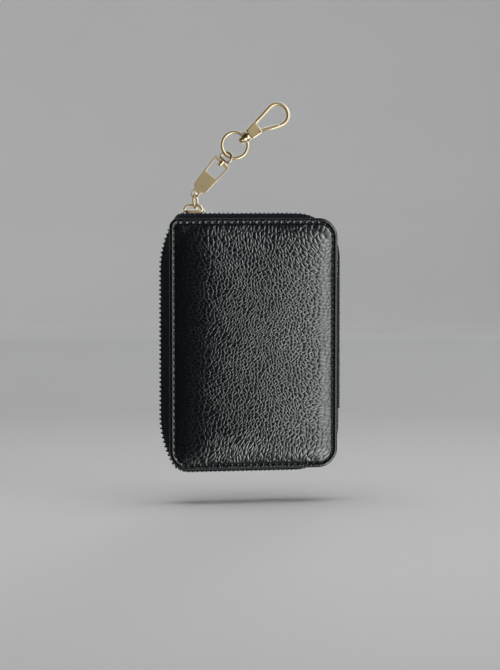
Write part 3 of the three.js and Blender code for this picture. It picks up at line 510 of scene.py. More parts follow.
# Bonded polyester sewing thread: twisted plies, matt black
def sewing_thread():
    material, tree, shader = new_finish("black_sewing_thread", 0.7)
    place = add(tree, "ShaderNodeTexCoord").outputs["Object"]
    plies = add(tree, "ShaderNodeTexNoise", {"Vector": place, "Scale": per_mm(0.4)})
    tones(tree, shader, plies.outputs["Fac"], "#050607", "#121315")
    relief(tree, shader, plies.outputs["Fac"], 0.05)
    return material


# Polyurethane foam: matt, full of small cells
def open_foam():
    material, tree, shader = new_finish("open_cell_foam", 0.95)
    place = add(tree, "ShaderNodeTexCoord").outputs["Object"]
    cells = add(tree, "ShaderNodeTexVoronoi", {"Vector": place, "Scale": per_mm(1.0)})
    tones(tree, shader, cells.outputs["Distance"], "#B3AC9C", "#DDD7C9")
    relief(tree, shader, cells.outputs["Distance"], 0.2)
    return material


# Pressed fibre board: flat and dusty, with short fibres
def fibre_board():
    material, tree, shader = new_finish("pressed_fibre_board", 0.9)
    place = add(tree, "ShaderNodeTexCoord").outputs["Object"]
    fibres = add(tree, "ShaderNodeTexNoise", {"Vector": place, "Scale": per_mm(1.5), "Detail": 8.0})
    tones(tree, shader, fibres.outputs["Fac"], "#6E614C", "#9C8C70")
    relief(tree, shader, fibres.outputs["Fac"], 0.05)
    return material


TWILL, TAPE_CLOTH, COIL = twill_lining(), woven_tape(), nylon_coil()
SEWING, FOAM, BOARD = sewing_thread(), open_foam(), fibre_board()
print(TWILL.name, "and", TAPE_CLOTH.name)

# %% [markdown]
# ### Metal
#
# The chain is cast, pressed and drawn metal under pale gold plating and a clear lacquer. Yellow paint would
# look dull, because metal takes its look from what it mirrors. So it is a true metal with a gold tint under a
# glossy coat, and a slow cloud makes its polish a little uneven.


# %% Metal
# Zinc alloy under pale gold plating and clear lacquer: soft metal tones, with a white glint on every round
def pale_gold():
    material, tree, shader = new_finish("pale_gold_plating", 0.2, 1.0)
    place = add(tree, "ShaderNodeTexCoord").outputs["Object"]
    cloud = add(tree, "ShaderNodeTexNoise", {"Vector": place, "Scale": per_mm(4.0), "Detail": 4.0})
    tones(tree, shader, cloud.outputs["Fac"], "#DBC092", "#E5CB9E")
    spread(tree, shader, cloud.outputs["Fac"], 0.26, 0.31)
    shader.inputs["Coat Weight"].default_value = 1.0
    shader.inputs["Coat Roughness"].default_value = 0.12
    shader.inputs["Coat IOR"].default_value = 1.8
    return material


# Drawn spring steel: grey, with fine lines along the draw
def spring_steel():
    material, tree, shader = new_finish("drawn_spring_steel", 0.35, 1.0)
    place = add(tree, "ShaderNodeTexCoord").outputs["Object"]
    lines = add(tree, "ShaderNodeMapping", {"Vector": place, "Scale": (0.1, 1.0, 1.0)})
    draw = add(tree, "ShaderNodeTexNoise", {"Vector": lines.outputs[0], "Scale": per_mm(0.3)})
    tones(tree, shader, draw.outputs["Fac"], "#8C8C88", "#B9B9B4")
    relief(tree, shader, draw.outputs["Fac"], 0.02)
    return material


GOLD, STEEL = pale_gold(), spring_steel()
print(len(bpy.data.materials), "finishes")

# %% [markdown]
# ## The covers
#
# A cover is leather drawn over foam and board, sewn down round its rim. It could be one plane with a bump
# map, but then its outline and its highlights would be flat. Here a fine grid fills the rounded outline, and
# each point is lifted by rule: a flat rim, a seam groove, the swell of the foam, and then the pebbles of the
# hide, which stretch towards the nearest edge where the leather was pulled over.

# %% Outline of a cover
CORNER = 9.0
FRONT_SLIDER_CORNER = 4.0
BACK_ZIP_CORNER = 18.0
SIDES = (("front", -1), ("back", 1))
low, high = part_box("front_leather")
panel = (low.x / MM, low.z / MM, high.x / MM, high.z / MM)


def corner_radii(left_top, left_bottom, right):
    return {"left_top": left_top, "left_bottom": left_bottom, "right_top": right, "right_bottom": right}


panel_radii = {"front": corner_radii(FRONT_SLIDER_CORNER, CORNER, CORNER),
               "back": corner_radii(BACK_ZIP_CORNER, BACK_ZIP_CORNER, CORNER)}


def arc(centre, radius, start, end, steps=24):
    angles = np.radians(np.linspace(start, end, steps + 1))
    return np.stack([centre[0] + radius * np.cos(angles), centre[1] + radius * np.sin(angles)], 1)


def even_steps(points, count):
    points = np.asarray(points, float)
    lengths = np.concatenate([[0], np.cumsum(np.linalg.norm(np.diff(points, axis=0), axis=1))])
    at = np.linspace(0, lengths[-1], count + 1)
    return np.stack([np.interp(at, lengths, points[:, k]) for k in range(points.shape[1])], 1)


def outline_sides(box, radii, inset=0.0):
    left, bottom, right, top = box[0] + inset, box[1] + inset, box[2] - inset, box[3] - inset
    r = {name: max(value - inset, 0.4) for name, value in radii.items()}
    rb, rt, lt, lb = r["right_bottom"], r["right_top"], r["left_top"], r["left_bottom"]
    c_rb, c_rt = (right - rb, bottom + rb), (right - rt, top - rt)
    c_lt, c_lb = (left + lt, top - lt), (left + lb, bottom + lb)
    return {
        "bottom": np.concatenate([arc(c_lb, lb, 225, 270), arc(c_rb, rb, 270, 315)]),
        "right": np.concatenate([arc(c_rb, rb, -45, 0), arc(c_rt, rt, 0, 45)]),
        "top": np.concatenate([arc(c_rt, rt, 45, 90), arc(c_lt, lt, 90, 135)]),
        "left": np.concatenate([arc(c_lt, lt, 135, 180), arc(c_lb, lb, 180, 225)]),
    }


def outline_loop(box, radii, inset=0.0):
    sides = outline_sides(box, radii, inset)
    return np.concatenate([sides[name] for name in ("bottom", "right", "top", "left")])


print("panel", [round(value, 1) for value in panel])


# %% Grid inside an outline
def fill_grid(box, radii, inset, step):
    sides = outline_sides(box, radii, inset)
    columns = round((box[2] - box[0]) / step)
    rows = round((box[3] - box[1]) / step)
    low_side, high_side = even_steps(sides["bottom"], columns), even_steps(sides["top"][::-1], columns)
    left_side, right_side = even_steps(sides["left"][::-1], rows), even_steps(sides["right"], rows)
    u, v = np.linspace(0, 1, columns + 1)[None, :, None], np.linspace(0, 1, rows + 1)[:, None, None]
    grid = (1 - v) * low_side[None] + v * high_side[None]
    grid = grid + (1 - u) * left_side[:, None] + u * right_side[:, None]
    grid -= (1 - u) * (1 - v) * low_side[0] + u * (1 - v) * low_side[-1]
    grid -= (1 - u) * v * high_side[0] + u * v * high_side[-1]
    return grid


def inset_at(x, z, box, radii):
    cx, cz = (box[0] + box[2]) / 2, (box[1] + box[3]) / 2
    radius = np.where(
        z > cz,
        np.where(x > cx, radii["right_top"], radii["left_top"]),
        np.where(x > cx, radii["right_bottom"], radii["left_bottom"]),
    )
    qx = np.abs(x - cx) - (box[2] - box[0]) / 2 + radius
    qz = np.abs(z - cz) - (box[3] - box[1]) / 2 + radius
    return radius - np.hypot(np.maximum(qx, 0), np.maximum(qz, 0)) - np.minimum(np.maximum(qx, qz), 0)


# The faces of a grid of points, and the points of its rim in order
def grid_faces(rows, columns):
    index = np.arange(rows * columns).reshape(rows, columns)
    quads = np.stack([index[:-1, :-1], index[:-1, 1:], index[1:, 1:], index[1:, :-1]], -1).reshape(-1, 4)
    loop = np.concatenate([index[0, :-1], index[:-1, -1], index[-1, :0:-1], index[:0:-1, 0]])
    return quads, loop


# The strip of faces between two rings of points
def band(ring, next_ring):
    return np.stack([ring, np.roll(ring, -1), np.roll(next_ring, -1), next_ring], 1).tolist()


print("a grid of 3 by 3 has", len(grid_faces(3, 3)[0]), "faces")

# %% Place of each point on the hide
PEBBLE = 1.55
STRETCH = 0.6
STRETCH_REACH = 26.0
LONG_DRIFT, LONG_WAVE = 1.6, (9.0, 8.0)
SHORT_DRIFT, SHORT_WAVE = 0.5, (4.1, 3.3, 4.7, 3.9)
HIDES_APART = 50


# Towards an edge the hide was pulled over the pad, so its pebbles are longer there
def pulled(distance, half):
    near = np.clip(np.abs(distance) - (half - STRETCH_REACH), 0, None)
    return np.sign(distance) * (np.abs(distance) - STRETCH * near ** 2 / (2 * STRETCH_REACH))


# Slow and quick waves bend the rows of pebbles, and each seed cuts its piece from another part of the hide
def hide_place(x, z, seed, lively):
    cx, cz = (panel[0] + panel[2]) / 2, (panel[1] + panel[3]) / 2
    u = pulled(x - cx, panel[2] - cx) + LONG_DRIFT * np.sin(z / LONG_WAVE[0] + seed)
    v = pulled(z - cz, panel[3] - cz) + LONG_DRIFT * np.sin(x / LONG_WAVE[1] + 2 * seed)
    u += SHORT_DRIFT * np.sin(x / SHORT_WAVE[0] + z / SHORT_WAVE[1])
    v += SHORT_DRIFT * np.sin(z / SHORT_WAVE[2] - x / SHORT_WAVE[3])
    return np.stack([u / PEBBLE + HIDES_APART * seed, v / PEBBLE, lively], -1)


print("pebbles of", PEBBLE, "mm")


# %% A tree that raises the pebbles
def new_tree(name, inputs):
    tree = bpy.data.node_groups.new(name, "GeometryNodeTree")
    tree.interface.new_socket("Path", in_out="INPUT", socket_type="NodeSocketGeometry")
    for label, kind in inputs:
        tree.interface.new_socket(label, in_out="INPUT", socket_type=f"NodeSocket{kind}")
    tree.interface.new_socket("Result", in_out="OUTPUT", socket_type="NodeSocketGeometry")
    return tree, add(tree, "NodeGroupInput").outputs


def end_tree(tree, geometry, material):
    real = add(tree, "GeometryNodeRealizeInstances", {0: geometry})
    even = add(tree, "GeometryNodeSetShadeSmooth", {0: real.outputs[0]})
    dressed = add(tree, "GeometryNodeSetMaterial", {0: even.outputs[0], "Material": material})
    add(tree, "NodeGroupOutput", {0: dressed.outputs[0]})


def run_tree(tree, mesh, **values):
    obj = loose(mesh)
    modifier = obj.modifiers.new("grow", "NODES")
    modifier.node_group = tree
    for item in tree.interface.items_tree:
        label = item.name.replace(" ", "_").lower()
        if item.in_out == "INPUT" and label in values:
            modifier[item.identifier] = values[label]
    return evaluated(obj)


pebble_tree, given = new_tree("raise_pebbles", [
    ("Height", "Float"), ("Outward", "Vector"), ("Material", "Material")])
hide = add(pebble_tree, "GeometryNodeInputNamedAttribute", {"Name": "hide"}, data_type="FLOAT_VECTOR")
height, top = hide_pattern(pebble_tree, hide.outputs[0])
rise = add(pebble_tree, "ShaderNodeMath", {0: height, 1: given["Height"]}, operation="MULTIPLY")
move = add(pebble_tree, "ShaderNodeVectorMath", {0: given["Outward"], "Scale": rise.outputs[0]},
           operation="SCALE")
raised = add(pebble_tree, "GeometryNodeSetPosition", {0: given["Path"], "Offset": move.outputs[0]})
end_tree(pebble_tree, raised.outputs[0], given["Material"])
print(pebble_tree.name, "has", len(pebble_tree.nodes), "nodes")

# %% Swell of a cover
BEAD_CREST = 1.1
BEAD_DROP = 0.3
SEAM_INSET = 2.2
SEAM_GROOVE = 0.45
SEAM_WIDTH = 0.45
SEAM_POINTS = 1200
STITCH_PITCH = 2.9
STITCH_EASE = (-0.75, -0.2)
SHOULDER_REACH = 7.0
SHOULDER_SHARE = 0.22
PILLOW_REACH = {"left": 28.0, "right": 36.0, "top": 30.0, "bottom": 18.0}
PILLOW_FULLNESS = 4
LOW_LEFT_REACH = 14.0
WAVE = 0.1
WAVE_LENGTHS = (11.0, 17.0, 13.0)
LEATHER_THICK = 1.2
rim = -high.y / MM
outer = -low.y / MM
crown = outer - rim - LEATHER_THICK


def smooth(value, start, end):
    share = np.clip((value - start) / (end - start), 0, 1)
    return share * share * (3 - 2 * share)


def ease_out(distance, reach):
    return 1 - (1 - np.clip(distance / reach, 0, 1)) ** 2


def seam_line(name):
    line = outline_loop(panel, panel_radii[name], SEAM_INSET)
    return even_steps(np.concatenate([line, line[:1]]), SEAM_POINTS)[:-1]


# Share of a stitch at each point: 1 on the thread, 0 between two threads
def stitch_share(x, z, name):
    line = seam_line(name)
    length = np.linalg.norm(np.diff(line, axis=0), axis=1).sum()
    count = math.floor(length / STITCH_PITCH)
    share = np.zeros(x.shape)
    near = np.abs(inset_at(x, z, panel, panel_radii[name]) - SEAM_INSET) < 3 * SEAM_WIDTH
    points = np.stack([x[near], z[near]], 1)
    at = np.concatenate([np.argmin(np.linalg.norm(part[:, None] - line[None], axis=2), axis=1)
                         for part in np.array_split(points, 20)])
    share[near] = smooth(np.cos(2 * math.pi * count * at / len(line)), *STITCH_EASE)
    return share


def swell_depth(x, z, name):
    inset = inset_at(x, z, panel, panel_radii[name]) - SEAM_INSET
    sides = {"left": x - panel[0], "right": panel[2] - x, "bottom": z - panel[1], "top": panel[3] - z}
    low_share = {"left": LOW_LEFT_REACH * (1 - sides["bottom"] / (panel[3] - panel[1]))}
    lack = 0
    for side, reach in PILLOW_REACH.items():
        share = (sides[side] - SEAM_INSET) / (reach + low_share.get(side, 0))
        lack = lack + np.clip(1 - share, 0, 1) ** PILLOW_FULLNESS
    pillow = 1 - np.minimum(lack, 1) ** (2 / PILLOW_FULLNESS)
    steep = ease_out(inset, SHOULDER_REACH)
    swell = SHOULDER_SHARE * steep + (1 - SHOULDER_SHARE) * pillow * (inset > 0)
    groove = SEAM_GROOVE * np.exp(-(inset / SEAM_WIDTH) ** 2)
    bead = BEAD_DROP * np.clip(1 - (inset + SEAM_INSET) / BEAD_CREST, 0, 1) ** 2
    across, bend, up = WAVE_LENGTHS
    wave = WAVE * np.sin(x / across + 1.3 * np.sin(z / bend)) * np.sin(z / up + 0.7) * steep
    return rim + LEATHER_THICK + crown * swell - bead + wave, groove


print("crown", round(crown, 2), "mm")

# %% Leather covers
GRID_STEP = 0.34
PEBBLE_HEIGHT = 0.07
EDGE_ROUND = 0.45
TAUT = (5.0, 20.0)
DRAWN = (3.0, 15.0)
SEAM_GRAIN, TAUT_GRAIN, DRAWN_GRAIN = 0.4, 0.15, 0.5
GROOVE_BETWEEN = 0.5
COVER_SEED = 3
# Inset and drop of each ring down the edge: a rolled top, the cleft between two plies, the turn underneath
EDGE_PROFILE = [(0.22, -0.36), (0.07, -0.48), (0.0, -0.62), (0.0, -0.7), (0.14, -0.8), (0.02, -0.9),
                (0.02, -1.04), (0.12, -1.15), (0.3, -1.2), (1.5, -1.2)]


# A leather mesh whose points know their place on the hide, with its pebbles raised
def pebbled(points, faces, seed, grain, outward):
    mesh = mesh_from(points, faces)
    across = 1 if outward[0] else 0
    places = hide_place(points[:, across], points[:, 2], seed, grain).astype(np.float32)
    mesh.attributes.new("hide", "FLOAT_VECTOR", "POINT").data.foreach_set("vector", places.ravel())
    return run_tree(pebble_tree, mesh, height=PEBBLE_HEIGHT * MM, outward=outward, material=LEATHER)


def at_least(low, share):
    return low + (1 - low) * share


# How much of the grain is left: less at the seam, on the taut left, and where the right was drawn over
def grain_left(x, inset):
    lively = at_least(SEAM_GRAIN, smooth(inset, SEAM_INSET, SEAM_INSET + 2)) * smooth(inset, EDGE_ROUND, 1.0)
    lively *= at_least(TAUT_GRAIN, smooth(x - panel[0], *TAUT))
    return lively * at_least(DRAWN_GRAIN, smooth(panel[2] - x, *DRAWN))


def leather_cover(name, side):
    grid = fill_grid(panel, panel_radii[name], EDGE_ROUND, GRID_STEP)
    x, z = grid[..., 0], grid[..., 1]
    lively = grain_left(x, inset_at(x, z, panel, panel_radii[name]))
    level, groove = swell_depth(x, z, name)
    depth = level - groove * at_least(GROOVE_BETWEEN, stitch_share(x, z, name)) - 0.5 * PEBBLE_HEIGHT * lively
    points = [np.stack([x, side * depth, z], -1).reshape(-1, 3)]
    quads, last = grid_faces(*x.shape)
    faces = quads.tolist()
    rim_points = grid.reshape(-1, 2)[last]
    ahead = np.roll(rim_points, -1, 0) - np.roll(rim_points, 1, 0)
    outward = np.stack([ahead[:, 1], -ahead[:, 0]], 1) / np.linalg.norm(ahead, axis=1)[:, None]
    start = x.size
    for ring_inset, drop in EDGE_PROFILE:
        at = rim_points + outward * (EDGE_ROUND - ring_inset)
        ring_depth = np.full(len(at), side * (rim + LEATHER_THICK + drop))
        points.append(np.stack([at[:, 0], ring_depth, at[:, 1]], 1))
        ring = np.arange(start, start + len(at))
        faces += band(last, ring)
        last, start = ring, start + len(at)
    faces.append(last[::-1].tolist())
    grain = np.zeros(start)
    grain[:x.size] = lively.reshape(-1)
    return pebbled(np.concatenate(points), faces, side + COVER_SEED, grain, (0, side, 0))


for name, side in SIDES:
    cover = piece(f"{name}_leather_cover", leather_cover(name, side), LEATHER, f"{name}_cover",
                  "pebbled_leather", f"{name}_leather")

# %% [markdown]
# ## Stitches
#
# One row of lock stitches holds each cover round its rim. It could be painted on, but a thread that lies in
# its groove catches the light. Geometry Nodes lay them: the tree walks along a path, drops a point at every
# stitch and puts a small thread there, turned along the seam and leaning a little.


# %% A tree that sews along a path
def grown(tree, path, closed, **values):
    mesh = bpy.data.meshes.new("path")
    count = len(path)
    edges = [(k, (k + 1) % count) for k in range(count if closed else count - 1)]
    mesh.from_pydata((np.asarray(path, float) * MM).tolist(), edges, [])
    return run_tree(tree, mesh, **values)


stitch_tree, given = new_tree("sew_along_path", [
    ("Pitch", "Float"), ("Length", "Float"), ("Radius", "Float"), ("Lean", "Float"),
    ("Material", "Material")])
seam = add(stitch_tree, "GeometryNodeMeshToCurve", {0: given["Path"]})
spots = add(stitch_tree, "GeometryNodeCurveToPoints", {0: seam.outputs[0], "Length": given["Pitch"]},
            mode="LENGTH")
aim = add(stitch_tree, "FunctionNodeAlignRotationToVector", {"Vector": spots.outputs["Tangent"]}, axis="X")
lean = add(stitch_tree, "ShaderNodeCombineXYZ", {"Y": given["Lean"]})
leaning = add(stitch_tree, "FunctionNodeRotateRotation", {0: aim.outputs[0], 1: lean.outputs[0]},
              rotation_space="LOCAL")
bead = add(stitch_tree, "GeometryNodeMeshUVSphere", {"Segments": 8, "Rings": 6, "Radius": 1.0})
size = add(stitch_tree, "ShaderNodeCombineXYZ", {0: given["Length"], 1: given["Radius"], 2: given["Radius"]})
thread = add(stitch_tree, "GeometryNodeTransform", {0: bead.outputs[0], "Scale": size.outputs[0]})
sewn = add(stitch_tree, "GeometryNodeInstanceOnPoints", {
    "Points": spots.outputs[0], "Instance": thread.outputs[0], "Rotation": leaning.outputs[0]})
end_tree(stitch_tree, sewn.outputs[0], given["Material"])
print(stitch_tree.name, "has", len(stitch_tree.nodes), "nodes")

# %% Sew the covers
STITCH_LENGTH = 2.1
STITCH_RADIUS = 0.3
STITCH_LEAN = 5.0


def sew(path, closed):
    return grown(
        stitch_tree, path, closed, pitch=STITCH_PITCH * MM, length=STITCH_LENGTH / 2 * MM,
        radius=STITCH_RADIUS * MM, lean=math.radians(STITCH_LEAN), material=SEWING)


for name, side in SIDES:
    line = seam_line(name)
    level, groove = swell_depth(line[:, 0], line[:, 1], name)
    seam_path = np.stack([line[:, 0], side * (level - groove + STITCH_RADIUS / 4), line[:, 1]], 1)
    piece(f"{name}_cover_stitches", sew(seam_path, True), SEWING, f"{name}_cover", "pebbled_leather")

# %% [markdown]
# ## The zip
#
# The zip follows one path round the wallet. Its tape is a woven strip that runs flat beside the coil and then
# dives under the cover. The coil is a nylon thread wound in turns, one row on each tape, and the turns of the
# two rows lie between each other where the zip is closed. A picture on a band could stand for it, but the
# rows show in the outline, so a node tree puts a wound turn at every tooth.

# %% Path of the zip
ZIP_SPINE_RADIUS = 20.0
ZIP_CORNER_INSET = 6.0
ZIP_UPPER_RADIUS = 3.0
ZIP_LOWER_RADIUS = 7.0
ZIP_EASE_LENGTH = 14.0
ZIP_EASE_RADIUS = 45.0
STOP_INSET = 9.0
TAPE_TAIL = 27.0
TOOTH_PITCH = 2.1
TOOTH_MESH = 1.0
TOOTH_LENGTH = 1.6
TOOTH_HALF = 0.9
BEAD = 0.7
PARTED_GAP = 1.6
CLEAR = 0.3
TAPE = 0.6
TAPE_TUCK = 2.5
SLIDER_LENGTH = 10.0
SLIDER_WALL = 0.8
SLIDER_ROOM = (7.0, 14.0)

teeth_low, teeth_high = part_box("back_zip_teeth")
slider_low, slider_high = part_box("zip_slider")
zip_left = teeth_low.x / MM + TOOTH_HALF
zip_bottom = teeth_low.z / MM + TOOTH_HALF
zip_top = teeth_high.z / MM - TOOTH_HALF
zip_right = -zip_left
slider_x = (slider_low.x + slider_high.x) / 2 / MM


def rounded_path(corners):
    points = [np.array(corners[0][:2], float)]
    for k in range(1, len(corners) - 1):
        at = np.array(corners[k][:2], float)
        before = np.array(corners[k - 1][:2], float) - at
        after = np.array(corners[k + 1][:2], float) - at
        before, after = before / np.linalg.norm(before), after / np.linalg.norm(after)
        half = math.acos(np.clip(before @ after, -1, 1)) / 2
        reach = corners[k][2] / math.tan(half)
        middle = (before + after) / np.linalg.norm(before + after)
        centre = at + middle * corners[k][2] / math.sin(half)
        start, end = at + before * reach - centre, at + after * reach - centre
        sweep_angle = math.pi - 2 * half
        way = np.sign(start[0] * end[1] - start[1] * end[0])
        for step in range(25):
            angle = way * sweep_angle * step / 24
            cos, sin = math.cos(angle), math.sin(angle)
            turned_start = [start[0] * cos - start[1] * sin, start[0] * sin + start[1] * cos]
            points.append(centre + np.array(turned_start))
    points.append(np.array(corners[-1][:2], float))
    return np.array(points)


zip_path = rounded_path([
    (zip_right, panel[3] - TAPE_TAIL),
    (zip_right, zip_top, ZIP_SPINE_RADIUS),
    (panel[0] + ZIP_CORNER_INSET, zip_top, ZIP_UPPER_RADIUS),
    (zip_left, zip_top - ZIP_EASE_LENGTH, ZIP_EASE_RADIUS),
    (zip_left, zip_bottom + ZIP_EASE_LENGTH, ZIP_EASE_RADIUS),
    (panel[0] + ZIP_CORNER_INSET, zip_bottom, ZIP_LOWER_RADIUS),
    (zip_right, zip_bottom, ZIP_SPINE_RADIUS),
    (zip_right, panel[1] + TAPE_TAIL),
])
zip_steps = np.concatenate([[0], np.cumsum(np.linalg.norm(np.diff(zip_path, axis=0), axis=1))])
zip_length = zip_steps[-1]


def zip_at(distance):
    return np.stack([np.interp(distance, zip_steps, zip_path[:, k]) for k in (0, 1)], -1)


along_zip = np.linspace(0, zip_length, 4000)
along_points = zip_at(along_zip)
upper_run = along_zip < zip_length / 2
stop_x = panel[2] - STOP_INSET
first_tooth = along_zip[upper_run & (along_points[:, 0] <= stop_x)][0]
last_tooth = along_zip[~upper_run & (along_points[:, 0] <= stop_x)][-1]
slider_at = along_zip[upper_run & (along_points[:, 0] <= slider_x)][0]


# 0 where the slider runs, 1 on the rest of the closed zip
def past_slider(distance):
    return smooth(distance - slider_at, *SLIDER_ROOM)


def zip_outward(distance):
    ahead = zip_at(distance + 0.5) - zip_at(distance - 0.5)
    ahead /= np.linalg.norm(ahead, axis=-1, keepdims=True)
    return np.stack([ahead[:, 1], -ahead[:, 0]], 1)


print("zip", round(zip_length), "mm long")


# %% Rows of the coil
COIL_WIRE = 0.33
COIL_LEAN = 9.0
# how far each row stands out on the left, where the teeth show against the light
COIL_PROUD = {"front": 0.05, "back": 0.6}
LEFT_RUN = (0.3, 0.9)


def row_shift(distance):
    share = smooth(distance, slider_at - SLIDER_LENGTH / 4, slider_at + SLIDER_LENGTH / 4)
    return (TOOTH_MESH / 2 + PARTED_GAP / 2) * (1 - share)


coil_tree, given = new_tree("wind_coil_along_path", [
    ("Half Height", "Float"), ("Half Depth", "Float"), ("Wire", "Float"), ("Lean", "Float"),
    ("Material", "Material")])
row = add(coil_tree, "GeometryNodeMeshToCurve", {0: given["Path"]})
spots = add(coil_tree, "GeometryNodeCurveToPoints", {0: row.outputs[0]}, mode="EVALUATED")
aim = add(coil_tree, "FunctionNodeAlignRotationToVector", {"Vector": spots.outputs["Tangent"]}, axis="X")
level_aim = add(coil_tree, "FunctionNodeAlignRotationToVector",
                {"Rotation": aim.outputs[0], "Vector": (0.0, 1.0, 0.0)}, axis="Y", pivot_axis="X")
lean = add(coil_tree, "ShaderNodeCombineXYZ", {"Z": given["Lean"]})
leaning = add(coil_tree, "FunctionNodeRotateRotation", {0: level_aim.outputs[0], 1: lean.outputs[0]},
              rotation_space="LOCAL")
circle = add(coil_tree, "GeometryNodeCurvePrimitiveCircle", {"Resolution": 10, "Radius": 1.0})
size = add(coil_tree, "ShaderNodeCombineXYZ", {0: given["Half Height"], 1: given["Half Depth"], 2: 1.0})
oval = add(coil_tree, "GeometryNodeTransform", {
    0: circle.outputs[0], "Rotation": (0.0, math.pi / 2, 0.0), "Scale": size.outputs[0]})
section = add(coil_tree, "GeometryNodeCurvePrimitiveCircle", {"Resolution": 6, "Radius": given["Wire"]})
wound = add(coil_tree, "GeometryNodeCurveToMesh", {0: oval.outputs[0], 1: section.outputs[0]})
turns = add(coil_tree, "GeometryNodeInstanceOnPoints", {
    "Points": spots.outputs[0], "Instance": wound.outputs[0], "Rotation": leaning.outputs[0]})
end_tree(coil_tree, turns.outputs[0], given["Material"])

coil_depth = TOOTH_LENGTH + BEAD
for name, side in SIDES:
    offset = TOOTH_PITCH / 2 if side < 0 else 0.0
    at = np.arange(first_tooth + offset, last_tooth, TOOTH_PITCH)
    middle = (coil_depth - TOOTH_MESH) / 2 + row_shift(at)
    outward = zip_outward(at)
    proud = COIL_PROUD[name] * past_slider(at) * smooth(-outward[:, 0], *LEFT_RUN)
    flat = zip_at(at) + outward * proud[:, None]
    row_path = np.stack([flat[:, 0], side * middle, flat[:, 1]], 1)
    turns_mesh = grown(
        coil_tree, row_path, False, half_height=(TOOTH_HALF - COIL_WIRE) * MM,
        half_depth=(coil_depth / 2 - COIL_WIRE) * MM, wire=COIL_WIRE * MM,
        lean=math.radians(COIL_LEAN), material=COIL)
    piece(f"{name}_coil", turns_mesh, COIL, f"{name}_cover", "zip_teeth", f"{name}_zip_teeth")
    print(len(at), "turns")

# %% Woven tape
TAPE_ALONG = 1.2
TAPE_FLAT = 5
TAPE_BEND = 10
TAPE_HIDDEN = 6.2
TAPE_SAG = 0.15
BEND_SHARES = (0.45, 0.55)
TAPE_CLOSE = 2.7
OUTLINE_FINE = 60
STOP_LENGTH = 2.4
slider_half = TOOTH_LENGTH + PARTED_GAP / 2 + BEAD + CLEAR + SLIDER_WALL
tape_depth = (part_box("back_foam")[0].y / MM) - TAPE / 2
upper_end = first_tooth - TOOTH_PITCH / 2 - CLEAR - STOP_LENGTH
lower_end = last_tooth + TOOTH_PITCH + CLEAR + STOP_LENGTH


# A closed sheet between two grids of points
def shell_from_grid(front, back):
    points = np.concatenate([front.reshape(-1, 3), back.reshape(-1, 3)])
    quads, loop = grid_faces(*front.shape[:2])
    under = len(points) // 2
    return points, quads.tolist() + (quads[:, ::-1] + under).tolist() + band(loop, loop + under)


def offset_grid(grid, distance):
    along = np.gradient(grid, axis=0)
    across = np.gradient(grid, axis=1)
    normal = np.cross(along, across)
    normal /= np.linalg.norm(normal, axis=-1, keepdims=True)
    return grid + normal * distance


def fine_outline(name, inset):
    loop = outline_loop(panel, panel_radii[name], inset)
    closed = np.concatenate([loop, loop[:1]])
    at = np.linspace(0, len(loop), len(loop) * OUTLINE_FINE, endpoint=False)
    return np.stack([np.interp(at, np.arange(len(closed)), closed[:, k]) for k in (0, 1)], 1)


def tape_grid(name, side):
    at = np.linspace(0, zip_length, round(zip_length / TAPE_ALONG))
    flat = zip_at(at)
    rim_line = fine_outline(name, TAPE_TUCK)
    nearest = np.argmin(np.linalg.norm(flat[:, None] - rim_line[None], axis=2), axis=1)
    tuck, hidden = rim_line[nearest], fine_outline(name, TAPE_HIDDEN)[nearest]
    past = np.maximum(smooth(at, lower_end + CLEAR, lower_end + STOP_LENGTH),
                      smooth(-at, CLEAR - upper_end, STOP_LENGTH - upper_end))
    beside = coil_depth - TOOTH_MESH / 2 + row_shift(at) + CLEAR
    start = beside * (1 - past) + CLEAR / 2 * past
    beyond = past_slider(at)
    shelf = (slider_half + 2 * CLEAR) * (1 - beyond) + TAPE_CLOSE * beyond
    columns = []
    for k in range(TAPE_FLAT):
        depth = start + (shelf - start) * k / TAPE_FLAT
        columns.append(np.stack([flat[:, 0], side * depth, flat[:, 1]], 1))
    begin = np.stack([flat[:, 0], side * shelf, flat[:, 1]], 1)
    end = np.stack([tuck[:, 0], np.full(len(at), side * tape_depth), tuck[:, 1]], 1)
    bend = begin * BEND_SHARES[0] + end * BEND_SHARES[1]
    bend = bend + (begin - end) * (TAPE_SAG, 0, TAPE_SAG) * (1 - beyond[:, None])
    for k in range(TAPE_BEND + 1):
        t = k / TAPE_BEND
        columns.append((1 - t) ** 2 * begin + 2 * t * (1 - t) * bend + t * t * end)
    for t in (0.5, 1.0):
        deep = tuck * (1 - t) + hidden * t
        columns.append(np.stack([deep[:, 0], np.full(len(at), side * tape_depth), deep[:, 1]], 1))
    return at, np.stack(columns, 1)


def tape_mesh(name, side):
    at, grid = tape_grid(name, side)
    points, faces = shell_from_grid(offset_grid(grid, TAPE / 2), offset_grid(grid, -TAPE / 2))
    mesh = mesh_from(points, faces, 50)
    across = np.concatenate([np.zeros((len(grid), 1)),
                             np.cumsum(np.linalg.norm(np.diff(grid, axis=1), axis=2), axis=1)], 1)
    along = np.repeat(at[:, None], grid.shape[1], 1)
    flat_place = np.tile(np.stack([along, across], -1).reshape(-1, 2), (2, 1))
    layer = mesh.uv_layers.new(name="weave")
    corners = np.array([loop.vertex_index for loop in mesh.loops])
    layer.data.foreach_set("uv", flat_place[corners].astype(np.float32).ravel())
    width = across[:, -1].mean()
    return mesh, width


for name, side in SIDES:
    mesh, width = tape_mesh(name, side)
    tape = piece(f"{name}_tape", mesh, TAPE_CLOTH, f"{name}_cover", "zip_tape", f"{name}_zip_tape")
    print("tape", round(width, 1), "mm wide")
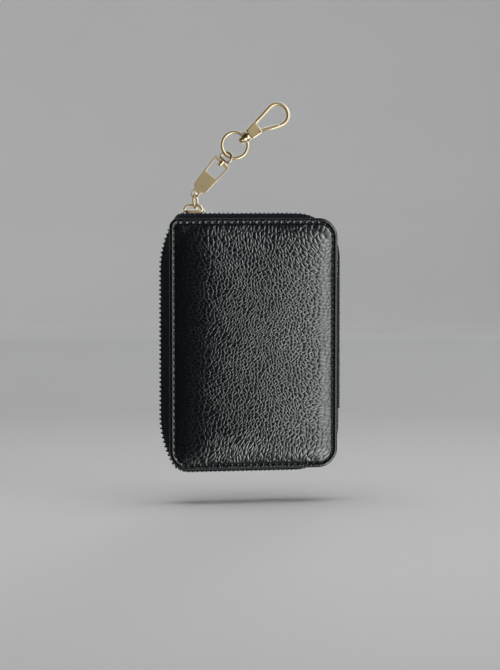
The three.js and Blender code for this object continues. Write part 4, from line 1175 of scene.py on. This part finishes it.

# %% [markdown]
# ## The spine
#
# A strip of the same leather joins the covers on the right. Two halves that meet at the hinge would part when
# the wallet opens. So it is one piece, bowed from one cover to the other.

# %% Spine
SPINE = 0.9
SPINE_STEP = 0.45
SPINE_FLATTENED = 0.4
SPINE_JOIN = 0.35
SPINE_SEED = 7
spine_low, spine_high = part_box("back_spine")
spine_reach = spine_high.y / MM
spine_rim = spine_low.x / MM
spine_bow = SPINE_FLATTENED * (spine_high.x / MM - spine_rim - SPINE)


def spine_mesh():
    depth = np.linspace(-spine_reach, spine_reach, round(2 * spine_reach / SPINE_STEP))
    up = np.linspace(spine_low.z / MM - SPINE_JOIN, spine_high.z / MM + SPINE_JOIN,
                     round((spine_high.z - spine_low.z) / MM / SPINE_STEP))
    y, z = np.meshgrid(depth, up)
    x = spine_rim + spine_bow * (1 - (y / spine_reach) ** 2)
    outside = np.stack([x + SPINE - PEBBLE_HEIGHT, y, z], -1)
    points, faces = shell_from_grid(outside, np.stack([x, y, z], -1))
    grain = np.zeros(len(points))
    grain[:y.size] = 1
    return pebbled(points, faces, SPINE_SEED, grain, (1, 0, 0))


spine = piece("spine_leather", spine_mesh(), LEATHER, None, "pebbled_leather", "front_spine", "back_spine")
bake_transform(spine)

# %% [markdown]
# ## Inside the covers
#
# Behind each leather cover lie foam and board, and in front of those the lining and a bank of pockets. They
# hardly show while the wallet is closed, but it opens, so each is a thin sheet of its own. A pocket has a
# turned hem along its mouth and a row of stitches that holds the hem.


# %% Sheets and pads
SHEET_STEP = 1.6
INNER_CORNER = 1.0
BOARD_INSET = 7.0
LINING_INSET = 3.5
POCKET_INSET = 6.0
POCKET_CORNER = 3.0
HEM = 5.0
HEM_RISE = 0.14
HEM_EASE = 0.6
HEM_SEAM_POINTS = 80
SEAM_END = 2
ROLL_SHARE, ROLL_REACH = 0.2, 0.4
FOAM_UNDER = 0.1


def node_box(name):
    a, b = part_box(name)
    return (a.x / MM, a.z / MM, b.x / MM, b.z / MM), sorted((abs(a.y), abs(b.y)))


def inner_radii(name, inset):
    return {corner: max(radius - inset, INNER_CORNER) for corner, radius in panel_radii[name].items()}


def sheet_mesh(node, side, radii, hem):
    box, (near, far) = node_box(node)
    near, far = near / MM, far / MM
    grid = fill_grid(box, radii, 0.0, SHEET_STEP)
    x, z = grid[..., 0], grid[..., 1]
    edge = inset_at(x, z, box, radii)
    roll = ROLL_SHARE * (far - near) * np.exp(-edge / ROLL_REACH)
    rise = HEM_RISE * smooth(x, box[2] - HEM - HEM_EASE, box[2] - HEM) if hem else 0
    inner = np.stack([x, side * (near + roll - rise), z], -1)
    outer_face = np.stack([x, side * (far - roll), z], -1)
    points, faces = shell_from_grid(inner, outer_face)
    return mesh_from(points, faces, 50), box, near


def foam_mesh(name, side):
    box, (near, far) = node_box(f"{name}_foam")
    near, far = near / MM, far / MM
    grid = fill_grid(box, inner_radii(name, BOARD_INSET), 0.0, SHEET_STEP)
    x, z = grid[..., 0], grid[..., 1]
    top = np.minimum(swell_depth(x, z, name)[0] - LEATHER_THICK - CLEAR - FOAM_UNDER, far)
    points, faces = shell_from_grid(np.stack([x, side * top, z], -1),
                                    np.stack([x, np.full_like(x, side * near), z], -1))
    return mesh_from(points, faces, 50)


for name, side in SIDES:
    body = f"{name}_cover"
    foam = piece(f"{name}_foam_pad", foam_mesh(name, side), FOAM, body, "foam", f"{name}_foam")
    frame["nodes"][f"{name}_board"].data.materials.clear()
    frame["nodes"][f"{name}_board"].data.materials.append(BOARD)
    left = POCKET_CORNER if name == "front" else BACK_ZIP_CORNER - POCKET_INSET
    pocket_radii = corner_radii(left, left, POCKET_CORNER)
    sheets = [("lining", TWILL, "lining", inner_radii(name, LINING_INSET), False),
              ("slip_pocket", TWILL, "lining", pocket_radii, True)]
    sheets += [(f"card_pocket_{k}", POCKET_LEATHER, "smooth_leather", pocket_radii, True) for k in (1, 2, 3)]
    for sheet_name, material, slot, radii, hem in sheets:
        node = f"{name}_{sheet_name}"
        mesh, box, near = sheet_mesh(node, side, radii, hem)
        sheet = piece(f"{node}_sheet", mesh, material, body, slot, node)
        if hem:
            seam_z = np.linspace(box[1] + SEAM_END, box[3] - SEAM_END, HEM_SEAM_POINTS)
            seam_x = np.full_like(seam_z, box[2] - HEM / 2)
            seam_path = np.stack([seam_x, np.full_like(seam_z, side * (near - HEM_RISE)), seam_z], 1)
            piece(f"{node}_stitches", sew(seam_path, False), SEWING, body, slot)

# %% [markdown]
# ## The chain
#
# The chain is drawn wire, pressed plate and turned pins. Wire follows a path, so one node tree sweeps a round
# section along it. Plates are flat curves with a rolled edge, which Blender turns into bevelled solids, and
# turned pieces are a profile spun round an axis. The joints of the frame say where each link sits.


# %% Wire
WIRE_SIDES = 20

wire_tree, given = new_tree("draw_wire_along_path", [("Radius", "Float"), ("Material", "Material")])
path = add(wire_tree, "GeometryNodeMeshToCurve", {0: given["Path"]})
section = add(wire_tree, "GeometryNodeCurvePrimitiveCircle",
              {"Resolution": WIRE_SIDES, "Radius": given["Radius"]})
drawn = add(wire_tree, "GeometryNodeCurveToMesh",
            {0: path.outputs[0], 1: section.outputs[0], "Fill Caps": True})
end_tree(wire_tree, drawn.outputs[0], given["Material"])


# flatten presses the round section to an oval, across the plane of the path
def wire(path, radius, closed, place, flatten=1.0):
    flat = np.asarray(path, float)
    route = np.column_stack([flat, np.zeros(len(flat))])
    mesh = grown(wire_tree, route, closed, radius=radius * MM, material=GOLD)
    mesh.transform(place @ Matrix.Diagonal((1, 1, flatten, 1)))
    return shaded(mesh, 50)


print("wire of", WIRE_SIDES, "sides")

# %% Plate and turned shapes
FLAT = 0.9999


# Flat faces keep their own normals, and the rolled edges turn between them
def crisp(mesh):
    obj = loose(shaded(mesh, 32))
    obj.modifiers.new("even", "WEIGHTED_NORMAL").keep_sharp = True
    return evaluated(obj)


def plate(loops, thick, roll, place):
    curve = bpy.data.curves.new("plate", "CURVE")
    curve.dimensions = "2D"
    curve.fill_mode = "BOTH"
    curve.extrude = (thick / 2 - roll) * MM
    curve.bevel_depth = roll * MM
    curve.bevel_resolution = 3
    curve.offset = -roll * MM
    for loop in loops:
        spline = curve.splines.new("POLY")
        spline.points.add(len(loop) - 1)
        for point, (x, y) in zip(spline.points, loop):
            point.co = (x * MM, y * MM, 0, 1)
        spline.use_cyclic_u = True
    mesh = crisp(cleaned(evaluated(loose(curve)), WELD_CAD, 0.5))
    normals = [corner.vector.copy() for corner in mesh.corner_normals]
    for face in mesh.polygons:
        if abs(face.normal.z) > FLAT:
            for k in face.loop_indices:
                normals[k] = face.normal.copy()
    mesh.normals_split_custom_set(normals)
    mesh.transform(place)
    return mesh


def turned(profile, place, sides=32):
    points, faces = [], []
    for k in range(sides):
        angle = 2 * math.pi * k / sides
        points += [(u, r * math.cos(angle), r * math.sin(angle)) for u, r in profile]
    count = len(profile)
    for k in range(sides):
        a, b = k * count, ((k + 1) % sides) * count
        faces += [(a + i, a + i + 1, b + i + 1, b + i) for i in range(count - 1)]
    mesh = mesh_from(points, faces, 40)
    mesh.transform(place)
    return mesh


def cut(mesh, cutter):
    whole, tool = loose(mesh), loose(cutter)
    modifier = whole.modifiers.new("cut", "BOOLEAN")
    modifier.operation = "DIFFERENCE"
    modifier.solver = "EXACT"
    modifier.object = tool
    result = evaluated(whole)
    bpy.data.objects.remove(tool)
    return crisp(result)


# Points of the curve that leaves a towards b and reaches c from b
def quadratic(a, b, c, steps=8):
    t = np.linspace(0, 1, steps + 1)[:, None]
    return (1 - t) ** 2 * np.array(a) + 2 * t * (1 - t) * np.array(b) + t * t * np.array(c)


print("faces within", round(math.degrees(math.acos(FLAT)), 1), "degrees of the plate count as flat")


# %% Places along the chain
def frame_at(place, along, across):
    x, y = Vector(along).normalized(), Vector(across).normalized()
    z = x.cross(y)
    matrix = Matrix((x, y, z)).transposed().to_4x4()
    matrix.translation = Vector(place)
    return matrix


def joint_place(name):
    return Vector(joints[name]["pos_m"])


def round_rectangle(left, bottom, right, top, radius, steps=8):
    return np.concatenate([
        arc((right - radius, bottom + radius), radius, -90, 0, steps),
        arc((right - radius, top - radius), radius, 0, 90, steps),
        arc((left + radius, top - radius), radius, 90, 180, steps),
        arc((left + radius, bottom + radius), radius, 180, 270, steps),
    ])


# %% [markdown]
# ### Slider and pull plate
#
# The slider is a casting: two plates on a wedge, walls that press the rows of the coil together, and a bail
# that holds the jump ring. The pull plate is pressed from sheet, with a hole in its neck, a window, and a
# bored boss for the rivet of the swivel loop. Sharp boxes would give the shape, but polished metal is read by
# its edges, so every plate has a rolled edge that draws a thin line of light.

# %% Slider with its bail
SLIDER_PLATE = 0.8
SLIDER_ROLL, WALL_ROLL, WEDGE_ROLL = 0.25, 0.15, 0.1
BAIL_FLATTEN = 1.4
BAIL_WIRE = 1.2
BAIL_SPAN = 8.4
BAIL_CORNER = 2.8
WEDGE = 3.0
JUMP_WIRE = 1.1
channel = TOOTH_HALF + CLEAR
plate_top = channel + SLIDER_PLATE
bail_middle = plate_top + 2 * CLEAR + JUMP_WIRE + BAIL_WIRE / 2
slider_place = Matrix.Translation((slider_x * MM, 0, zip_top * MM))


def slider_mesh():
    half = SLIDER_LENGTH / 2
    plan = [round_rectangle(-half, -slider_half, half, slider_half, slider_half / 2)]
    lift = channel + SLIDER_PLATE / 2
    parts = []
    for side in (-1, 1):
        parts.append(plate(plan, SLIDER_PLATE, SLIDER_ROLL, Matrix.Translation((0, 0, side * lift * MM))))
    wall_long = (SLIDER_LENGTH - slider_half) / 2
    wall_plan = [round_rectangle(-wall_long, -SLIDER_WALL / 2, wall_long, SLIDER_WALL / 2, 0.3, 4)]
    wall_high = channel - TAPE / 2 - CLEAR + SLIDER_PLATE / 2
    wall_across = slider_half - SLIDER_WALL / 2
    wall_up = TAPE / 2 + CLEAR + wall_high / 2
    for across in (-1, 1):
        for up in (-1, 1):
            at = (0, across * wall_across * MM, up * wall_up * MM)
            parts.append(plate(wall_plan, wall_high, WALL_ROLL, Matrix.Translation(at)))
    start = half - SLIDER_WALL - WEDGE
    nose = PARTED_GAP / 2 - CLEAR
    wedge_plan = [[(start, 0), (start + WEDGE / 2, -nose), (start + WEDGE, -nose), (start + WEDGE, nose),
                   (start + WEDGE / 2, nose)]]
    parts.append(plate(wedge_plan, 2 * channel + SLIDER_PLATE, WEDGE_ROLL, Matrix.Identity(4)))
    foot = plate_top - SLIDER_PLATE / 2
    arch = rounded_path([(-BAIL_SPAN / 2, foot), (-BAIL_SPAN / 2, bail_middle, BAIL_CORNER),
                         (BAIL_SPAN / 2, bail_middle, BAIL_CORNER), (BAIL_SPAN / 2, foot)])
    upright = frame_at((0, 0, 0), (1, 0, 0), (0, 0, 1))
    parts.append(wire(arch, BAIL_WIRE / 2, False, upright, BAIL_FLATTEN))
    whole = joined(*parts)
    whole.transform(slider_place)
    return whole


piece("slider_with_bail", slider_mesh(), GOLD, "slider", "pale_gold", "zip_slider")

# %% Jump ring
JUMP_HALF = 2.6
JUMP_LENGTH = 6.4
JUMP_TURN = math.radians(30)
bar = joint_place("link_swing")
neck = joint_place("plate_swing")
jump_low = BAIL_WIRE / 2 + CLEAR + JUMP_WIRE / 2
jump_straight = JUMP_LENGTH - 2 * JUMP_HALF
jump_path = np.concatenate([
    arc((JUMP_HALF - jump_low, 0), JUMP_HALF, 90, 270),
    arc((JUMP_HALF - jump_low + jump_straight, 0), JUMP_HALF, -90, 90)])
jump_across = Matrix.Rotation(-JUMP_TURN, 3, neck - bar) @ Vector((0, 1, 0))
piece("link_ring", wire(jump_path, JUMP_WIRE / 2, True, frame_at(bar, neck - bar, jump_across)), GOLD,
      "link", "pale_gold", "jump_ring")

# %% Pull plate
PLATE_THICK = 1.3
PLATE_ROLL = 0.22
PLATE_WIDTH = 8.6
SHOULDER_WIDTH = 6.8
NECK_LENGTH = 3.2
NECK_WIDTH = 3.8
PLATE_BODY = 8.0
WINDOW = 7.0
WINDOW_BAR = 0.8
END_BAR = 1.4
RIVET = 1.0
BOSS_WALL = 0.6
plate_axis = Vector(joints["swivel_spin"]["axis"]).normalized()
plate_across = Vector((-plate_axis.z, 0, plate_axis.x))
plate_place = frame_at(neck, plate_axis, plate_across)
window_start = NECK_LENGTH + PLATE_BODY
window_end = window_start + WINDOW
plate_end = window_end + END_BAR


def shoulder(sign):
    neck_half = NECK_WIDTH / 2
    start, corner = (NECK_LENGTH - neck_half, neck_half), (NECK_LENGTH, neck_half)
    return quadratic(start, corner, (NECK_LENGTH, SHOULDER_WIDTH / 2)) * (1, sign)


half = PLATE_WIDTH / 2
plate_outline = np.concatenate([
    arc((0, 0), NECK_WIDTH / 2, 90, 270), shoulder(-1), [(plate_end, -half), (plate_end, half)],
    shoulder(1)[::-1]])
narrow, wide = (np.interp(at, (NECK_LENGTH, plate_end), (SHOULDER_WIDTH / 2, half)) - WINDOW_BAR
                for at in (window_start, window_end))
window_loop = [(window_start, -narrow), (window_end, -wide), (window_end, wide), (window_start, narrow)]
hole = (JUMP_WIRE / 2 + CLEAR) / math.cos(JUMP_TURN) + PLATE_THICK / 2 * math.tan(JUMP_TURN)
hole_loop = arc((0, 0), hole, 0, 360)[:-1]
pressed = plate([plate_outline, hole_loop, window_loop], PLATE_THICK, PLATE_ROLL, plate_place)
bore = RIVET / 2 + CLEAR
boss_profile = [(window_end, bore), (window_end, bore + BOSS_WALL), (plate_end, bore + BOSS_WALL),
                (plate_end, bore), (window_end, bore)]
boss = turned(boss_profile, plate_place)
piece("chain_plate", joined(pressed, boss), GOLD, "plate", "pale_gold", "pull_plate")

# %% Swivel loop with its rivet
LOOP_WIRE = 1.1
LOOP_HALF = 2.6
RIVET_HEAD = 2.2
RIVET_HEAD_LENGTH = 1.0
RING_WIRE = 1.5
RING_DIAMETER = 13.4
loop_normal = Vector(joints["ring_swing"]["axis"]).normalized()
loop_place = frame_at(neck, plate_axis, loop_normal.cross(plate_axis))
crossing = (joint_place("ring_swing") - neck).length / MM
bow_middle = crossing + RING_WIRE / 2 + CLEAR + LOOP_WIRE / 2
loop_low = plate_end + CLEAR + LOOP_WIRE / 2
loop_path = np.concatenate([
    arc((loop_low + LOOP_WIRE, LOOP_HALF - LOOP_WIRE), LOOP_WIRE, 90, 180, 8),
    arc((loop_low + LOOP_WIRE, LOOP_WIRE - LOOP_HALF), LOOP_WIRE, 180, 270, 8),
    arc((bow_middle - LOOP_HALF, 0), LOOP_HALF, -90, 90)])
head_end = window_end - CLEAR
head_start = head_end - RIVET_HEAD_LENGTH
rivet_profile = [(head_start, 0)]
rivet_profile += [(head_start + 0.5 * (1 - math.cos(a)), RIVET_HEAD / 2 * math.sin(a)) for a in
                  np.radians(np.linspace(15, 90, 6))]
rivet_profile += [(head_end, RIVET_HEAD / 2), (head_end, RIVET / 2), (loop_low, RIVET / 2), (loop_low, 0)]
swivel = joined(wire(loop_path, LOOP_WIRE / 2, True, loop_place), turned(rivet_profile, loop_place))
piece("swivel_loop", swivel, GOLD, "swivel", "pale_gold", "plate_swivel")

# %% [markdown]
# ### Key ring and snap hook
#
# The key ring is one round of wire. The hook hangs in it by a turned knob, and a post behind the knob's
# collar lets it spin. The hook's base is a block with a bore for the post and a fork for the gate, its bow is
# flattened wire, and the gate swings on a pin. All of this could be one carved mesh, but pieces that are made
# as the real ones are keep their gaps, so every joint can move.

# %% Key ring
ring_centre = joint_place("hook_travel")
ring_radius = (RING_DIAMETER - RING_WIRE) / 2
ring_path = arc((0, 0), ring_radius, 0, 360, 96)[:-1]
ring_place = frame_at(ring_centre, (1, 0, 0), (0, 0, 1))
piece("round_key_ring", wire(ring_path, RING_WIRE / 2, True, ring_place), GOLD,
      "ring", "pale_gold", "key_ring")

# %% Hook swivel
COLLAR_END = 1.55
COLLAR_RADIUS = 2.6
GROOVE_RADIUS = 2.35
KNOB_RADIUS = 1.5
POST = 1.8
POST_HEAD = 2.8
POST_HEAD_LENGTH = 0.9
MOUTH = 0.8
eye = joint_place("hook_spin")
hook_axis = Vector(joints["hook_spin"]["axis"]).normalized()
hook_across = Vector((-hook_axis.z, 0, hook_axis.x))
eye_place = frame_at(eye, hook_axis, hook_across)
base_start = COLLAR_END + CLEAR
head = base_start + MOUTH + CLEAR
# Place along the axis and radius: a round knob, the grooved collar, and the post whose head turns in the hook
knob = [(-3.45, 0), (-3.38, 0.5), (-3.15, 0.98), (-2.8, 1.34), (-2.4, KNOB_RADIUS), (-2.0, 1.42),
        (-1.75, 1.22)]
collar = [(-1.6, 1.22), (-1.54, 1.7), (-1.42, 2.2), (-1.2, GROOVE_RADIUS), (-0.05, GROOVE_RADIUS), (0.1, 2.4),
          (0.25, 2.54), (0.4, COLLAR_RADIUS), (1.2, COLLAR_RADIUS), (1.45, 2.5), (COLLAR_END, 2.25)]
post_end = head + POST_HEAD_LENGTH
post = [(COLLAR_END, POST / 2), (head, POST / 2), (head, POST_HEAD / 2), (post_end, POST_HEAD / 2),
        (post_end, 0)]
ring_way = wire(ring_path, RING_WIRE / 2 + CLEAR, True, ring_place)
eye_mesh = cut(turned(knob + collar + post, eye_place), ring_way)
piece("hook_eye", eye_mesh, GOLD, "eye", "pale_gold", "hook_swivel")

# %% Hook
BASE_LENGTH = 6.0
BASE_WIDTH = 5.0
BASE_DEPTH = 4.6
BASE_FLARE = 0.4
BASE_CORNER = 0.8
BASE_LIP = 0.12
BASE_ROLL, SLOT_ROLL, WEB_ROLL = 0.45, 0.02, 0.2
WEB = 1.4
WEB_DEPTH = 2.0
HOOK_WIRE = 1.8
HOOK_DEPTH = 2.4
LOOP_RADIUS = 4.95
LOOP_U = 16.4
LOOP_V = -0.8
ARM_ANGLE = 99.5
NOSE_ANGLE = -118
PIN = 1.0
PIN_U = 4.9
PIN_V = -1.6
HEEL = 1.4
GATE_WIDTH = 1.7
GATE_ROLL = 0.5
LEAF = 0.25
hook_place = frame_at(eye + hook_axis * base_start * MM, hook_axis, hook_across)


def hook_mesh():
    low = -BASE_WIDTH / 2
    bow = arc((LOOP_U, LOOP_V), LOOP_RADIUS, ARM_ANGLE, NOSE_ANGLE, 60)
    slope = math.tan(math.radians(ARM_ANGLE - 90))
    arm_half = HOOK_WIRE / 2 * math.hypot(1, slope)

    def arm_at(u):
        return bow[0][1] - slope * (bow[0][0] - u)

    outline = rounded_path([
        (0, 0), (0, low, BASE_CORNER), (BASE_LENGTH, low - BASE_FLARE, BASE_CORNER),
        (BASE_LENGTH, arm_at(BASE_LENGTH) + arm_half + BASE_LIP, BASE_CORNER),
        (0, arm_at(0) + arm_half + BASE_LIP, BASE_CORNER), (0, 0)])[:-1]
    block = plate([outline], BASE_DEPTH, BASE_ROLL, Matrix.Identity(4))
    fork_start = PIN_U - HEEL - 2 * CLEAR - LEAF
    fork_top = PIN_V + HEEL + CLEAR
    below = low - BASE_FLARE - 1
    slot_end = BASE_LENGTH + 1
    slot_plan = [[(fork_start, below), (slot_end, below), (slot_end, fork_top), (fork_start, fork_top)]]
    block = cut(block, plate(slot_plan, HOOK_DEPTH + 2 * CLEAR, SLOT_ROLL, Matrix.Identity(4)))
    chamber = MOUTH + POST_HEAD_LENGTH + 2 * CLEAR
    bore_profile = [(-1, 0), (-1, POST / 2 + CLEAR), (MOUTH, POST / 2 + CLEAR),
                    (MOUTH, POST_HEAD / 2 + CLEAR), (chamber, POST_HEAD / 2 + CLEAR), (chamber, 0)]
    block = cut(block, turned(bore_profile, Matrix.Identity(4)))
    arm_start = (BASE_LENGTH - HOOK_WIRE, arm_at(BASE_LENGTH - HOOK_WIRE))
    arm_and_bow = np.concatenate([[arm_start], bow])
    bend = wire(arm_and_bow, HOOK_WIRE / 2, False, Matrix.Identity(4), HOOK_DEPTH / HOOK_WIRE)
    corner = arm_at(BASE_LENGTH) - arm_half
    web_end = (BASE_LENGTH + WEB, arm_at(BASE_LENGTH + WEB))
    fillet = quadratic((BASE_LENGTH, corner - WEB), (BASE_LENGTH, corner), web_end)
    web_plan = np.concatenate([[arm_start, (arm_start[0], corner - WEB)], fillet])
    web = plate([web_plan], WEB_DEPTH, WEB_ROLL, Matrix.Identity(4))
    whole = joined(block, bend, web)
    whole.transform(hook_place)
    return whole


piece("snap_hook", hook_mesh(), GOLD, "hook", "pale_gold", "hook_body")

# %% Gate, its pin and its spring
pin_at = np.array([PIN_U, PIN_V])
nose_turn = math.radians(NOSE_ANGLE)


def on_nose(radius):
    return np.array([LOOP_U + radius * math.cos(nose_turn), LOOP_V + radius * math.sin(nose_turn)])


to_nose = on_nose(LOOP_RADIUS) - pin_at
gate_turn = math.atan2(to_nose[1], to_nose[0])
nose_reach = min(np.linalg.norm(on_nose(LOOP_RADIUS + side * HOOK_WIRE / 2) - pin_at) for side in (-1, 1))
gate_length = nose_reach - CLEAR - GATE_WIDTH ** 2 / (8 * nose_reach)
lap = math.degrees(math.asin(GATE_WIDTH / 2 / HEEL))
gate_outline = np.concatenate([
    arc((0, 0), HEEL, lap, 360 - lap), [(gate_length, -GATE_WIDTH / 2), (gate_length, GATE_WIDTH / 2)]])
gate_place = hook_place @ Matrix.Translation((PIN_U * MM, PIN_V * MM, 0)) @ Matrix.Rotation(gate_turn, 4, "Z")
pin_hole = arc((0, 0), PIN / 2 + CLEAR, 0, 360)[:-1]
gate_mesh = plate([gate_outline, pin_hole], HOOK_DEPTH, GATE_ROLL, gate_place)
piece("hook_gate_bar", gate_mesh, GOLD, "gate", "pale_gold", "hook_gate")

PIN_CHAMFER = 0.1
pin_half = BASE_DEPTH / 2
pin_end = [(pin_half - PIN_CHAMFER, PIN / 2), (pin_half, PIN / 2 - PIN_CHAMFER), (pin_half, 0)]
pin_profile = [(-u, r) for u, r in pin_end[::-1]] + pin_end
pin_place = frame_at(joint_place("gate_swing"), (0, 1, 0), (1, 0, 0))
piece("gate_hinge_pin", turned(pin_profile, pin_place), GOLD, "hook", "spring_steel", "gate_pin")

# %% [markdown]
# ### Stops and leaf spring
#
# The stops of the zip are crimped tags, and the spring of the gate is a leaf of steel. They are small and
# plain, so each is a copy of its solid with rolled edges rather than a new shape.


# %% Small pressed pieces
def softened_copy(node, roll):
    return shaded(cleaned(frame["nodes"][node].data.copy(), WELD_CAD, 3, roll), 40)


for node, name, body, roll, material, slot in (
    ("front_top_stop", "front_stop_crimp", "front_cover", 0.3, GOLD, "pale_gold"),
    ("back_top_stop", "back_stop_crimp", "back_cover", 0.3, GOLD, "pale_gold"),
    ("bottom_stop", "lower_stop_crimp", "back_cover", 0.35, GOLD, "pale_gold"),
    ("gate_spring", "gate_leaf_spring", "hook", 0.08, STEEL, "spring_steel"),
):
    piece(name, softened_copy(node, roll), material, body, slot, node)
